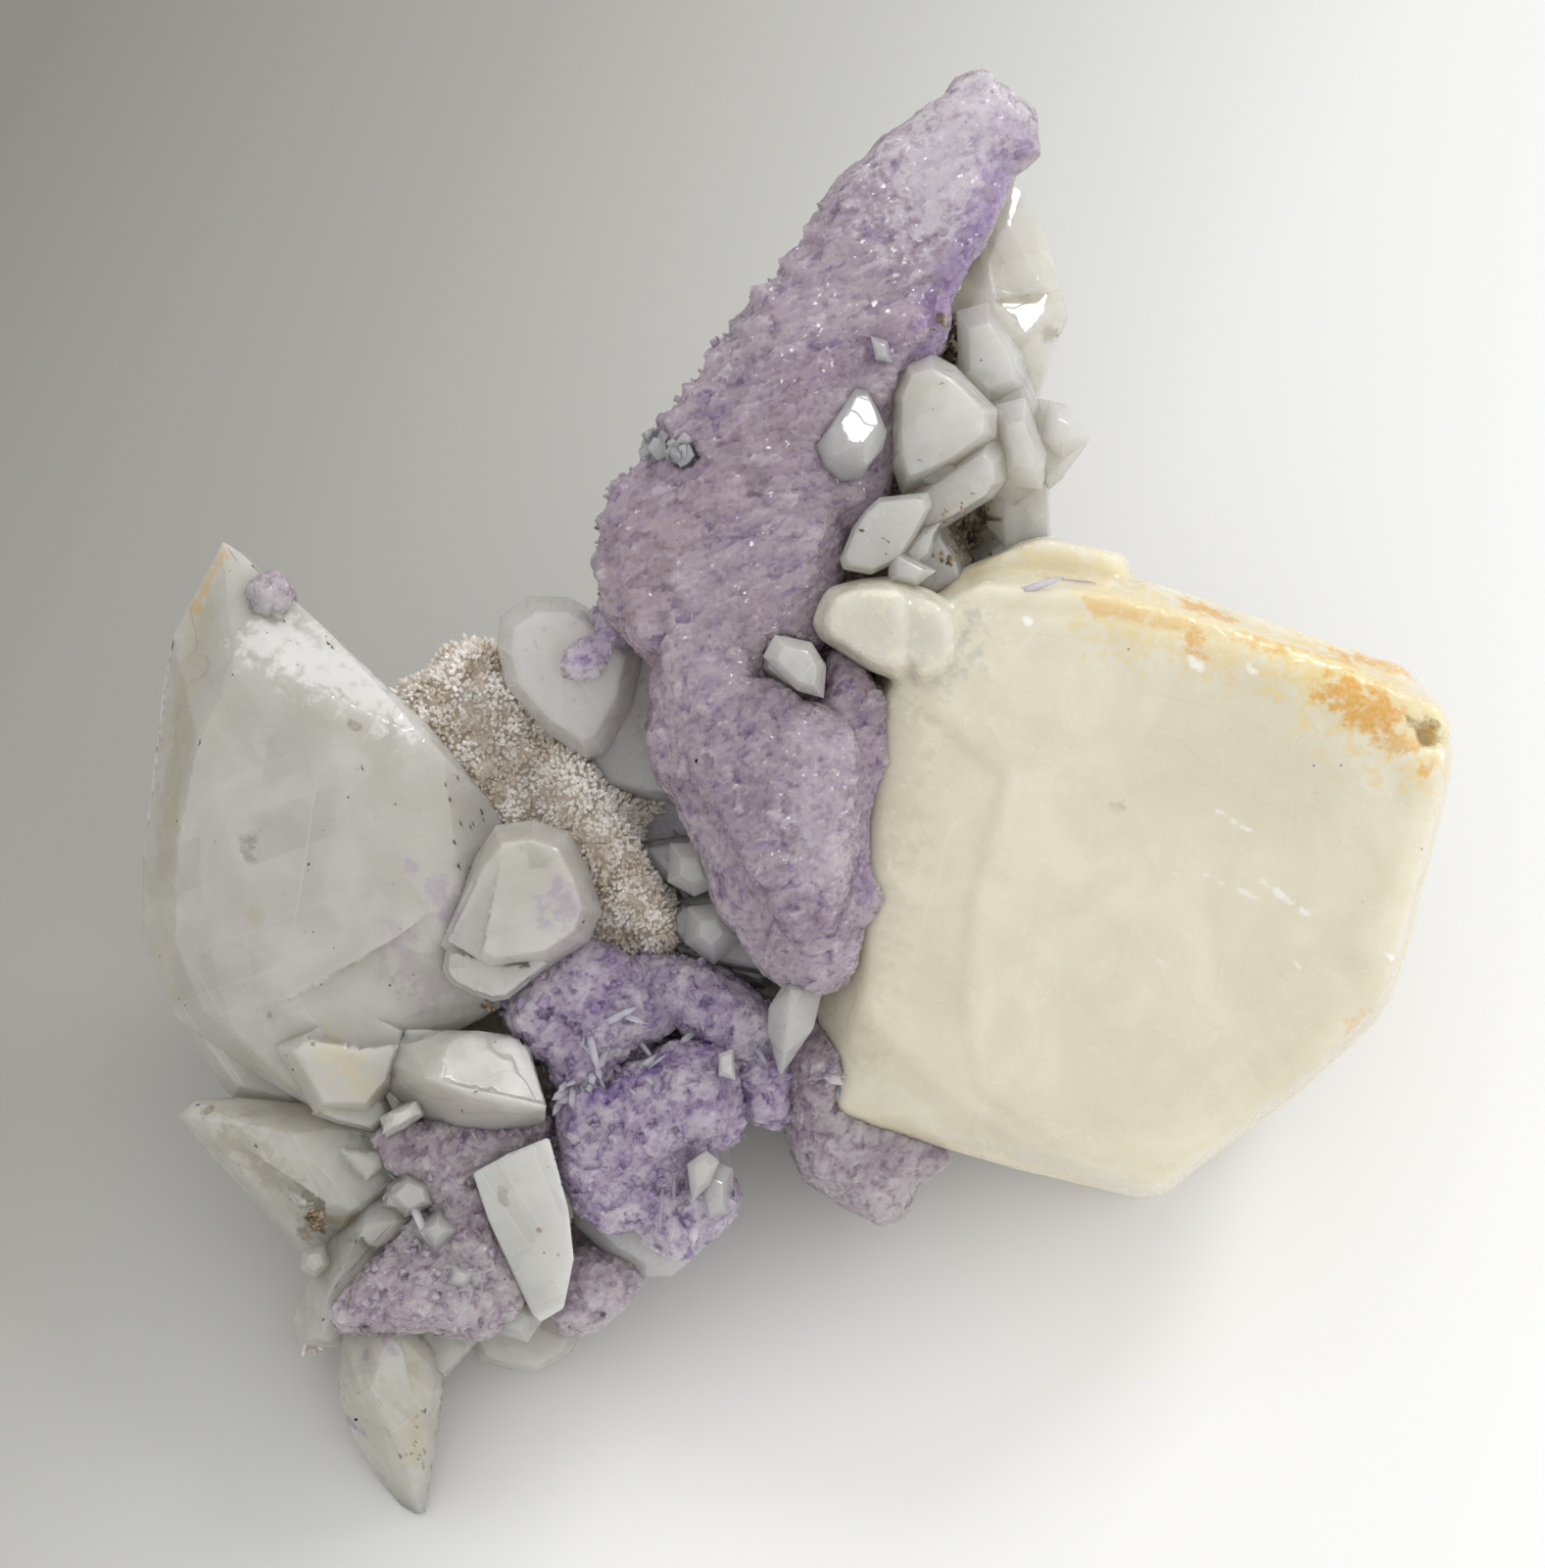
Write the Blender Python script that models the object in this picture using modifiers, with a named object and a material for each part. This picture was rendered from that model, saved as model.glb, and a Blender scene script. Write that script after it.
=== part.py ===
"""Etched purple fluorite with milky calcite crystals on a drusy rock matrix.

The specimen lies on its back on a table. Corners are given as they are seen in the front view:
u to the right and v up, in millimetres on a plane through the specimen, and w towards the viewer.
The front view looks down at the specimen, so that plane leans back.
"""
import math

import bmesh
import bpy
from mathutils import Vector
from mathutils import noise

# Driving dimensions, in millimetres unless the name says otherwise
MM = 0.001
VIEW_ELEVATION = math.radians(65.0)
VIEW_DISTANCE = 420.0
PLANE_HEIGHT = 32.0
CENTRE_X = 1.8
CENTRE_Y = 0.92
GAP = 0.3
ROUGH_GAP = 0.4
SHARPEST_MITRE = 2.5
CRUMB_AREA = 1.0

# Form of the etched fluorite and of the rock
BLADE_VOXEL = 0.85
CRUST_VOXEL = 0.75
ROCK_VOXEL = 1.2
BLADE_RELIEF = 0.55
CRUST_RELIEF = 0.6
ROCK_RELIEF = 1.1
MELT_LOSS = 0.2
BLADE_TRIANGLES = 1200
CRUST_TRIANGLES = 420
LUMP_TRIANGLES = 260
BUMP_TRIANGLES = 80
ROCK_TRIANGLES = 900
FLAT_ANGLE = math.radians(2.5)

# Front face of the right crystal, and the place where the upper cluster's crystals start
RIGHT_FACE_DEPTH = 9.2
RIGHT_FACE_LEAN = (-0.04, 0.03)
RIGHT_FACE_MIDDLE = (30.0, -8.0)
UPPER_ROOT = (15.0, 24.0)

SIN = math.sin(VIEW_ELEVATION)
COS = math.cos(VIEW_ELEVATION)

for old in list(bpy.data.objects):
    bpy.data.objects.remove(old, do_unlink=True)

specimen = bpy.data.collections.new("Etched fluorite")
cutters = bpy.data.collections.new("Cutters")
bpy.context.scene.collection.children.link(specimen)
bpy.context.scene.collection.children.link(cutters)

# Every solid grown so far, with the slightly larger copies that later solids are cut by
grown = []


def seen(u, v, w):
    """The point that the front view shows at u, v, at depth w."""
    spread = (VIEW_DISTANCE - w) / VIEW_DISTANCE
    x = u * spread
    y = v * spread * SIN - w * COS
    z = v * spread * COS + w * SIN
    return Vector((x - CENTRE_X, y - CENTRE_Y, z + PLANE_HEIGHT)) * MM


def table_depth(v, height=0.0):
    """The depth at which the front view's height v meets a level above the table."""
    return (height - PLANE_HEIGHT - v * COS) / (SIN - v * COS / VIEW_DISTANCE)


def ground(x, y, z=0.0):
    """A point by its place over the table, in millimetres from the front view's centre."""
    return Vector((x - CENTRE_X, y - CENTRE_Y, z)) * MM


def hull(points):
    """A closed convex solid round front-view corners, with nearly flat faces made whole."""
    bm = bmesh.new()
    for point in points:
        bm.verts.new(point if isinstance(point, Vector) else seen(*point))
    made = bmesh.ops.convex_hull(bm, input=bm.verts)
    inside = {item for item in made["geom_interior"] if isinstance(item, bmesh.types.BMVert)}
    inside |= {vert for vert in bm.verts if not vert.link_faces}
    bmesh.ops.delete(bm, geom=list(inside), context="VERTS")
    bmesh.ops.dissolve_limit(bm, angle_limit=FLAT_ANGLE, verts=bm.verts, edges=bm.edges)
    bmesh.ops.recalc_face_normals(bm, faces=bm.faces)
    return bm


def middle(outline):
    """The mean place of an outline's corners."""
    return (sum(p[0] for p in outline) / len(outline), sum(p[1] for p in outline) / len(outline))


def crystal(outline, rim, front, back, face=0.74, tail=0.82, root=None):
    """Corners of a tabular crystal: its rim, a smaller face in front and one behind.

    The face behind lies halfway towards the root that the crystal grows from.
    """
    u0, v0 = middle(outline)
    u1, v1 = ((u0 + root[0]) / 2, (v0 + root[1]) / 2) if root else (u0, v0)
    rings = [(1.0, rim, u0, v0), (face, front, u0, v0), (tail, back, u1, v1)]
    corners = []
    for scale, depth, across, up in rings:
        corners += [(across + (u - u0) * scale, up + (v - v0) * scale, depth) for u, v in outline]
    return corners


def plate(outline, front, back, lean=(0.0, 0.0), edge=1.2):
    """A solid of any outline between two depths, with a sloped edge at both faces."""
    u0, v0 = middle(outline)
    bm = bmesh.new()
    sides = []
    for depth in (back, front):
        tilt = [lean[0] * (u - u0) + lean[1] * (v - v0) for u, v in outline]
        corners = [bm.verts.new(seen(u, v, depth + more)) for (u, v), more in zip(outline, tilt)]
        sides.append(bm.faces.new(corners))
    bmesh.ops.bridge_loops(bm, edges=bm.edges[:])
    bmesh.ops.recalc_face_normals(bm, faces=bm.faces)
    bmesh.ops.inset_individual(bm, faces=sides, thickness=edge * MM, depth=edge * 0.8 * MM,
                               use_even_offset=True)
    bmesh.ops.triangulate(bm, faces=bm.faces)
    return bm


def inflated(bm, distance):
    """A copy of a solid with every face moved out by a distance."""
    bigger = bm.copy()
    bigger.normal_update()
    moves = [(vert, vert.normal * vert.calc_shell_factor()) for vert in bigger.verts]
    for vert, outwards in moves:
        length = min(outwards.length, SHARPEST_MITRE)
        vert.co += outwards.normalized() * length * distance * MM
    return bigger


def place(name, bm, collection):
    """An object made from a bmesh, which is freed."""
    mesh = bpy.data.meshes.new(name)
    bm.to_mesh(mesh)
    bm.free()
    obj = bpy.data.objects.new(name, mesh)
    collection.objects.link(obj)
    return obj


def as_cutter(obj):
    """Marks an object as a guide that is not part of the specimen."""
    obj.hide_render = True
    obj.display_type = "WIRE"
    return obj


def settle(obj):
    """Writes an object's modifiers into its mesh."""
    depsgraph = bpy.context.evaluated_depsgraph_get()
    mesh = bpy.data.meshes.new_from_object(obj.evaluated_get(depsgraph))
    obj.modifiers.clear()
    obj.data = mesh


def combine(obj, other, operation):
    """Adds an exact Boolean modifier."""
    modifier = obj.modifiers.new(operation.title(), "BOOLEAN")
    modifier.operation = operation
    modifier.object = other
    modifier.solver = "EXACT"


def boxes_meet(one, other):
    """Whether the boxes of two objects in the same frame overlap."""
    spans = []
    for obj in (one, other):
        corners = [obj.matrix_world @ Vector(corner) for corner in obj.bound_box]
        spans.append([(min(c[i] for c in corners), max(c[i] for c in corners)) for i in range(3)])
    return all(a[0] < b[1] and b[0] < a[1] for a, b in zip(*spans))


def keep_largest(obj):
    """Drops the crumbs that a cut leaves beside the main body."""
    bm = bmesh.new()
    bm.from_mesh(obj.data)
    unseen = set(bm.faces)
    bodies = []
    while unseen:
        stack = [unseen.pop()]
        body = set(stack)
        while stack:
            for edge in stack.pop().edges:
                for face in edge.link_faces:
                    if face in unseen:
                        unseen.remove(face)
                        body.add(face)
                        stack.append(face)
        bodies.append(body)
    bodies.sort(key=lambda faces: sum(face.calc_area() for face in faces))
    crumbs = [face for body in bodies[:-1] for face in body]
    lost = sum(face.calc_area() for face in crumbs) / MM ** 2
    if lost > CRUMB_AREA:
        print(f"{obj.name}: crumbs of {lost:.1f} square millimetres dropped")
    bmesh.ops.delete(bm, geom=crumbs, context="FACES")
    bmesh.ops.dissolve_degenerate(bm, dist=0.002 * MM, edges=bm.edges)
    bm.to_mesh(obj.data)
    bm.free()


def material(name, colour, roughness):
    """A plain finish with the mineral's colour."""
    made = bpy.data.materials.new(name)
    made.use_nodes = True
    shader = made.node_tree.nodes["Principled BSDF"]
    shader.inputs["Base Color"].default_value = (*colour, 1.0)
    shader.inputs["Roughness"].default_value = roughness
    shader.inputs["Metallic"].default_value = 0.0
    return made


def cut_by_neighbours(obj):
    """Cuts an object by the larger copy of every solid that was grown before it."""
    bpy.context.view_layer.update()
    for guide in grown:
        if boxes_meet(obj, guide):
            combine(obj, guide, "DIFFERENCE")
    if obj.modifiers:
        settle(obj)
        keep_largest(obj)


def add_calcite(name, parts, colour, roughness=0.25, chips=()):
    """One solid of crystals grown together, less its chipped places.

    A part is a solid, or a list of corners that a convex crystal spans.
    """
    solids = [part if isinstance(part, bmesh.types.BMesh) else hull(part) for part in parts]
    guides = [as_cutter(place(name + ".guide", inflated(solid, GAP), cutters)) for solid in solids]
    obj = place(name, solids[0], specimen)
    extras = [as_cutter(place(name + ".crystal", solid, cutters)) for solid in solids[1:]]
    for extra in extras:
        combine(obj, extra, "UNION")
    for corners in chips:
        combine(obj, as_cutter(place(name + ".chip", hull(corners), cutters)), "DIFFERENCE")
    if obj.modifiers:
        settle(obj)
        keep_largest(obj)
    cut_by_neighbours(obj)
    grown.extend(guides)
    obj.data.materials.clear()
    obj.data.materials.append(material(name, colour, roughness))
    return obj


def roughen(obj, relief, grain, seed):
    """Moves the surface in and out by two sizes of lumps."""
    offset = Vector((seed * 7.1, seed * 3.3, seed * 5.7))
    bm = bmesh.new()
    bm.from_mesh(obj.data)
    bm.normal_update()
    moves = []
    for vert in bm.verts:
        place_in_noise = vert.co / (grain * MM) + offset
        lumps = noise.noise(place_in_noise) + 0.5 * noise.noise(place_in_noise * 2.3)
        moves.append((vert, vert.normal * (lumps * relief + MELT_LOSS) * MM))
    for vert, move in moves:
        vert.co += move
    bm.to_mesh(obj.data)
    bm.free()


def flatten_on_table(bm):
    """Cuts off flat whatever would reach below the table."""
    if min(vert.co.z for vert in bm.verts) >= 0.0:
        return
    everything = bm.verts[:] + bm.edges[:] + bm.faces[:]
    cut = bmesh.ops.bisect_plane(bm, geom=everything, dist=0.00001, plane_co=(0.0, 0.0, 0.0),
                                 plane_no=(0.0, 0.0, 1.0), clear_inner=True)
    rim = [item for item in cut["geom_cut"] if isinstance(item, bmesh.types.BMEdge)]
    bmesh.ops.holes_fill(bm, edges=rim, sides=0)
    bmesh.ops.triangulate(bm, faces=[face for face in bm.faces if len(face.verts) > 4])


def add_grown_mass(name, solids, voxel, relief, grain, triangles, colour, seed, roughness=0.35):
    """One lumpy solid from overlapping forms, melted together and roughened."""
    whole = bmesh.new()
    for solid in solids:
        piece = bpy.data.meshes.new(name + ".form")
        solid.to_mesh(piece)
        solid.free()
        whole.from_mesh(piece)
    obj = place(name, whole, specimen)
    melt = obj.modifiers.new("Melt", "REMESH")
    melt.mode = "VOXEL"
    melt.voxel_size = voxel * MM
    soften = obj.modifiers.new("Soften", "SMOOTH")
    soften.factor = 0.5
    soften.iterations = 1
    settle(obj)
    roughen(obj, relief, grain, seed)
    thin = obj.modifiers.new("Thin", "DECIMATE")
    thin.ratio = min(1.0, triangles / (2.0 * len(obj.data.polygons)))
    settle(obj)
    bm = bmesh.new()
    bm.from_mesh(obj.data)
    flatten_on_table(bm)
    bm.to_mesh(obj.data)
    guide = as_cutter(place(name + ".guide", inflated(bm, ROUGH_GAP), cutters))
    bm.free()
    cut_by_neighbours(obj)
    grown.append(guide)
    obj.data.materials.clear()
    obj.data.materials.append(material(name, colour, roughness))
    return obj


# Colours of the minerals
MILKY = (0.72, 0.73, 0.70)
CREAM = (0.80, 0.76, 0.64)
CLEAR = (0.74, 0.74, 0.70)
WHITE = (0.80, 0.81, 0.78)
LILAC = (0.44, 0.36, 0.50)
VIOLET = (0.34, 0.25, 0.44)
MAUVE = (0.45, 0.37, 0.43)
ROCK = (0.40, 0.34, 0.28)


def left_calcite():
    """The big milky crystal with its overgrowths along the lower edge."""
    main = [
        # Outline from the tip down the left side
        (-44.8, 19.6, 0.0), (-46.8, 15.0, -1.0), (-48.8, 12.0, -2.0), (-49.6, 8.0, -2.5),
        (-50.2, 3.0, -3.0), (-51.3, -6.0, -3.5), (-51.4, -12.5, -3.5), (-50.3, -14.5, -3.5),
        (-48.6, -19.0, -3.5),
        # Outline along the bottom, then up the right side
        (-46.5, -20.0, -3.0), (-44.0, -21.9, -2.5), (-41.5, -24.0, -2.0), (-37.5, -26.3, -1.0),
        (-22.0, -3.6, 0.0), (-23.2, -1.5, 0.5), (-26.6, 2.8, 1.0), (-28.5, 5.0, 1.2),
        (-33.5, 9.7, 1.4), (-36.5, 12.5, 1.4), (-38.9, 13.9, 1.2), (-42.0, 17.3, 0.6),
        (-43.5, 18.8, 0.3),
        # Ridges between the front faces
        (-44.3, 14.5, 1.9), (-43.5, 10.0, 3.6), (-36.5, 8.2, 5.2), (-31.0, 6.0, 4.8),
        (-27.0, 2.3, 3.6), (-46.8, 3.0, 2.6), (-48.4, -5.0, 1.2), (-48.6, -13.0, -0.4),
        (-46.4, -18.4, -0.4), (-42.0, -21.6, 0.6), (-39.5, -17.4, 3.6), (-33.0, -13.4, 5.2),
        (-28.0, -11.0, 5.4), (-25.6, -8.6, 4.6), (-34.0, -21.5, 2.6), (-22.0, -18.0, 1.5),
        # Back faces
        (-42.0, 12.0, -9.0), (-47.5, -4.0, -12.0), (-46.0, -14.0, -12.0), (-37.0, -21.0, -13.0),
        (-24.0, -15.0, -13.0), (-25.0, -2.5, -12.0), (-34.0, 6.0, -11.0),
    ]
    under_plate = crystal([(-49.0, -17.5), (-47.5, -20.8), (-46.0, -22.7), (-44.0, -25.6),
                           (-38.5, -27.0), (-33.0, -22.0), (-40.0, -14.0)], -6.0, -4.0, -11.0)
    lower_plate = crystal([(-40.5, -21.5), (-34.0, -17.5), (-29.5, -20.0), (-31.0, -24.6),
                           (-33.0, -26.9), (-37.3, -26.8)], 1.5, 4.3, -6.0)
    overgrowth = crystal([(-22.5, -3.5), (-24.2, -6.2), (-26.8, -12.2), (-27.2, -13.3), (-23.5, -15.6),
                          (-18.3, -14.9), (-15.1, -12.8), (-14.1, -10.4), (-15.1, -7.2), (-16.7, -4.0),
                          (-19.5, -3.1)], 4.0, 8.6, -5.0, face=0.74)
    lower_layer = crystal([(-26.6, -13.6), (-26.8, -15.2), (-26.2, -16.1), (-24.5, -17.0), (-22.8, -17.6),
                           (-21.6, -17.4), (-20.3, -16.1), (-18.0, -14.6), (-21.0, -9.0),
                           (-25.0, -11.0)], 4.2, 6.2, -4.0, face=0.86)
    shiny_prism = [
        (-30.0, -20.2, 3.0), (-24.0, -20.3, 4.5), (-20.6, -20.7, 5.0), (-19.9, -21.8, 6.0),
        (-18.6, -26.2, 7.6), (-18.7, -27.4, 4.0), (-20.0, -27.9, 3.0), (-23.0, -28.3, 2.6),
        (-26.0, -28.0, 2.2), (-29.0, -27.0, 1.6), (-31.6, -24.6, 1.6), (-31.2, -22.6, 3.2),
        (-28.1, -24.0, 7.4), (-24.0, -25.0, 9.2), (-26.4, -21.7, 6.3), (-24.0, -20.8, 6.0),
        (-28.0, -23.0, -5.0), (-21.0, -23.5, -5.0), (-25.0, -26.0, -5.0),
    ]
    clear_point = crystal([(-31.9, -27.3), (-30.5, -26.4), (-29.0, -25.9), (-28.6, -27.0), (-30.0, -28.0),
                           (-31.5, -28.7)], 3.6, 5.2, 0.0)
    small_step = crystal([(-37.5, -26.9), (-35.5, -27.6), (-32.5, -28.3), (-31.0, -27.0), (-32.5, -24.0),
                          (-36.0, -24.5)], 0.5, 2.2, -5.0)
    parts = [main, under_plate, lower_plate, overgrowth, lower_layer, shiny_prism, clear_point, small_step]
    return add_calcite("calcite_left", parts, MILKY)


def right_face(u, v, below=0.0):
    """A corner on the right crystal's flat front face, or at some depth below it."""
    tilt = RIGHT_FACE_LEAN[0] * (u - RIGHT_FACE_MIDDLE[0]) + RIGHT_FACE_LEAN[1] * (v - RIGHT_FACE_MIDDLE[1])
    return (u, v, RIGHT_FACE_DEPTH + tilt - below)


def right_calcite():
    """The big cream crystal with the pair of small ones on its upper left corner."""
    rest = table_depth(-33.0)
    rim = [
        (12.8, 15.3, 3.0), (16.0, 17.8, 3.0), (19.0, 18.6, 3.0), (26.0, 18.0, 2.5), (29.3, 16.4, 2.5),
        (36.8, 13.9, 2.5), (45.5, 11.4, 2.0), (51.8, 9.4, 1.5), (52.5, 8.0, 1.5), (54.8, 5.8, 1.0),
        (55.5, 2.5, 0.5), (55.0, -0.5, 0.5), (53.5, -6.6, 0.5), (51.6, -13.6, 0.5), (50.4, -17.3, 0.5),
        (49.0, -19.5, 0.5), (43.6, -24.5, 0.5), (36.0, -29.9, 0.5), (31.8, -33.4, 0.5), (29.8, -33.6, 0.5),
        (20.0, -31.3, 1.0), (9.0, -27.9, 1.5), (5.4, -27.0, 1.5), (4.6, -24.0, 2.0), (3.5, -18.0, 2.5),
        (5.0, -8.0, 3.0), (7.0, 4.0, 3.5), (8.6, 9.0, 3.5),
    ]
    shoulder = [(13.0, 14.0), (17.0, 16.0), (26.5, 15.4), (36.5, 12.8), (45.0, 10.0), (52.0, 6.9),
                (54.6, 2.5), (54.0, -2.0), (52.6, -7.6), (50.8, -14.0), (49.4, -17.8), (42.6, -24.4),
                (31.6, -32.6), (24.0, -30.2), (16.0, -26.4)]
    left_shoulder = [(12.0, -23.6), (7.6, -18.0), (8.2, -6.0), (9.2, 6.0)]
    back = [
        (14.0, 10.0, -14.0), (26.0, 13.0, -16.0), (44.0, 7.0, -17.0), (50.0, 2.0, -16.5),
        (47.0, -12.0, -17.5), (41.0, -21.0, -17.5), (30.5, -33.0, rest), (22.0, -30.0, -17.0),
        (9.0, -22.0, -12.0), (8.0, 0.0, -12.0),
    ]
    body = (rim + [right_face(u, v, 0.4) for u, v in shoulder]
            + [right_face(u, v, 1.3) for u, v in left_shoulder] + back)
    plate_outline = [
        (12.7, 6.7), (14.2, 5.0), (17.6, 1.7), (19.0, 1.0), (18.5, -1.5), (17.2, -6.0), (16.2, -10.0),
        (15.6, -18.0), (16.6, -24.6), (22.0, -28.8), (30.8, -32.2), (38.0, -27.2), (46.4, -20.7),
        (48.9, -17.2), (50.0, -13.6), (51.8, -7.8), (53.2, -2.0), (53.6, 2.5), (51.0, 6.2), (45.0, 9.2),
        (36.5, 11.9), (26.5, 13.8), (17.0, 14.2)]
    u0, v0 = middle(plate_outline)
    plate_top = right_face(u0, v0)[2]
    front_plate = plate(plate_outline, plate_top - 0.32, 3.0, lean=RIGHT_FACE_LEAN, edge=0.4)
    top_band = [
        (30.5, 16.6, 4.6), (36.6, 13.9, 4.6), (45.5, 11.3, 4.4), (51.4, 9.5, 4.0), (52.2, 8.4, 4.0),
        (51.0, 8.2, 6.4), (45.0, 10.0, 7.4), (36.5, 12.6, 8.2), (31.0, 14.2, 8.6), (29.4, 15.4, 7.8),
        (30.0, 14.0, -8.0), (50.0, 8.0, -8.0),
    ]
    lower_bevel = [
        (5.6, -22.6, 4.4), (8.0, -23.9, 5.4), (15.0, -26.9, 6.0), (24.0, -31.0, 5.4), (20.0, -31.1, 2.4),
        (9.0, -27.7, 2.6), (5.4, -26.6, 2.6), (6.5, -18.0, 5.4), (12.0, -21.4, 6.2), (12.0, -24.0, -6.0),
        (22.0, -28.0, -6.0), (7.0, -21.0, -4.0),
    ]
    top_ledge = crystal([(15.0, 16.8), (17.0, 18.0), (20.5, 19.7), (22.4, 20.1), (24.5, 19.3), (28.6, 18.6),
                         (29.4, 17.0), (24.0, 14.0), (16.0, 14.0)], 2.0, 5.0, -9.0, face=0.9)
    pair_left = crystal([(3.4, 13.2), (3.8, 14.5), (4.6, 15.9), (7.0, 16.5), (9.5, 16.8), (11.3, 16.3),
                         (11.9, 13.5), (11.6, 9.0), (10.8, 8.4), (8.0, 9.4), (6.0, 10.8), (4.0, 12.0)],
                        9.4, 13.4, 1.0, face=0.72)
    pair_right = crystal([(11.0, 16.2), (12.5, 15.8), (14.0, 15.0), (15.0, 13.5), (15.3, 11.5), (14.7, 9.4),
                          (13.4, 8.2), (12.0, 8.2), (11.0, 9.4), (10.4, 13.0)], 9.6, 12.6, 1.0, face=0.7)
    right_step = crystal([(49.0, 6.5), (52.3, 7.4), (54.5, 6.2), (55.1, 4.9), (54.8, 2.4), (50.0, 1.0)],
                         4.4, 7.6, -4.0, face=0.86)
    chipped_corner = [(51.9, 5.2, 12.0), (54.4, 4.8, 12.0), (54.8, 2.8, 12.0), (52.5, 2.6, 12.0),
                      (52.1, 5.0, 6.2), (54.2, 4.6, 5.4), (54.4, 3.0, 5.2), (52.7, 2.8, 6.0)]
    groove = [(26.6, 14.4, 12.0), (26.6, 13.8, 12.0), (32.4, 12.6, 12.0), (32.4, 13.2, 12.0),
              (27.0, 14.1, 8.0), (32.0, 12.9, 7.8)]
    parts = [body, front_plate, top_band, lower_bevel, top_ledge, pair_left, pair_right, right_step]
    return add_calcite("calcite_right", parts, CREAM, chips=[chipped_corner, groove])


def lower_left_calcites():
    """The pointed crystals at the lower left, down to the tip that rests on the table."""
    left_point = [
        (-48.4, -27.0, -3.5), (-47.2, -25.9, -3.5), (-44.0, -25.7, -3.5), (-36.0, -26.4, -2.5),
        (-31.0, -28.4, -0.5), (-30.6, -32.0, -0.5), (-33.0, -35.2, -2.5), (-37.3, -38.8, -5.5),
        (-38.4, -38.1, -5.5), (-43.0, -32.9, -5.0), (-46.0, -30.0, -4.5),
        (-46.5, -27.4, -1.5), (-43.5, -27.7, 0.6), (-36.5, -29.4, 2.6), (-32.6, -31.0, 2.8),
        (-34.2, -34.2, 1.6), (-38.6, -34.2, 0.6), (-42.6, -31.2, -0.6),
        (-44.0, -28.5, -9.0), (-36.0, -29.5, -10.0), (-36.0, -35.0, -10.0),
    ]
    slanted_prism = [
        (-33.0, -34.4, -0.5), (-35.9, -37.2, -2.5), (-37.5, -40.0, -3.5), (-38.8, -42.8, -5.0),
        (-39.1, -44.0, -5.5), (-38.8, -45.5, -6.0), (-36.7, -45.9, -5.5), (-35.3, -46.0, -5.0),
        (-34.9, -43.2, -2.0), (-31.3, -38.4, 0.0), (-28.6, -35.4, 0.0), (-30.6, -33.4, 0.0),
        (-33.2, -36.2, 2.6), (-36.5, -42.0, 0.2), (-36.8, -44.9, -1.8), (-31.0, -35.8, 2.8),
        (-34.0, -37.5, -9.5), (-37.0, -43.0, -11.0), (-31.0, -36.5, -9.0),
    ]
    prism_top = crystal([(-31.9, -34.4), (-31.3, -32.8), (-29.8, -31.7), (-28.2, -32.5), (-27.7, -34.1),
                         (-29.0, -35.3)], 0.6, 3.8, -6.0)
    tip_depth = table_depth(-59.3)
    tip = [
        (-34.9, -44.0, -2.5), (-35.4, -48.0, -4.5), (-35.2, -50.6, -5.5), (-34.0, -53.6, -6.5),
        (-31.9, -56.8, -7.5), (-30.2, -58.8, -7.2), (-29.0, -59.5, -6.8), (-28.5, -59.5, -6.5),
        (-28.7, -59.0, tip_depth), (-27.8, -55.0, -6.0), (-27.2, -51.2, -5.0), (-27.0, -48.4, -4.0),
        (-27.8, -46.3, -3.0), (-29.8, -44.3, -1.5), (-32.7, -43.4, -1.0),
        (-31.2, -45.4, 1.6), (-32.6, -49.5, 0.8), (-30.2, -54.0, -2.2), (-28.9, -58.4, -5.4),
        (-28.3, -48.8, -0.6), (-33.0, -46.0, -10.5), (-29.5, -48.0, -11.0), (-30.5, -53.5, -9.4),
    ]
    small_wedge = crystal([(-31.0, -43.4), (-24.7, -43.6), (-24.0, -45.2), (-26.8, -48.4),
                           (-28.0, -48.0)], -4.6, -3.0, -10.0, face=0.8, tail=0.5,
                          root=(-28.0, -38.0))
    low_rhomb = crystal([(-26.0, -43.0), (-21.5, -43.0), (-18.3, -44.2), (-15.9, -45.2), (-16.7, -46.5),
                         (-19.1, -47.9), (-21.5, -47.6), (-24.0, -46.8)], -8.0, -6.2, -12.0, face=0.8,
                        tail=0.55, root=(-24.0, -40.0))
    parts = [left_point, slanted_prism, prism_top, tip, small_wedge, low_rhomb]
    return add_calcite("calcite_lower_left", parts, MILKY)


def white_blade():
    """The bright rhomb-shaped blade at the lower middle."""
    corners = [
        (-24.4, -31.8, 5.0), (-21.5, -30.2, 6.2), (-18.3, -28.9, 7.2), (-17.9, -30.4, 7.2),
        (-16.7, -34.8, 6.4), (-16.3, -38.8, 5.2), (-17.1, -42.8, 3.4), (-18.0, -43.1, 3.2),
        (-19.0, -43.9, 2.8), (-19.6, -43.2, 2.8), (-21.5, -38.8, 3.6), (-23.1, -35.6, 4.4),
        (-22.6, -32.4, -2.0), (-18.6, -31.0, -1.0), (-17.8, -36.0, -2.0), (-18.8, -41.0, -3.5),
        (-21.0, -37.0, -3.0),
    ]
    return add_calcite("calcite_white_blade", [corners], WHITE)


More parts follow.
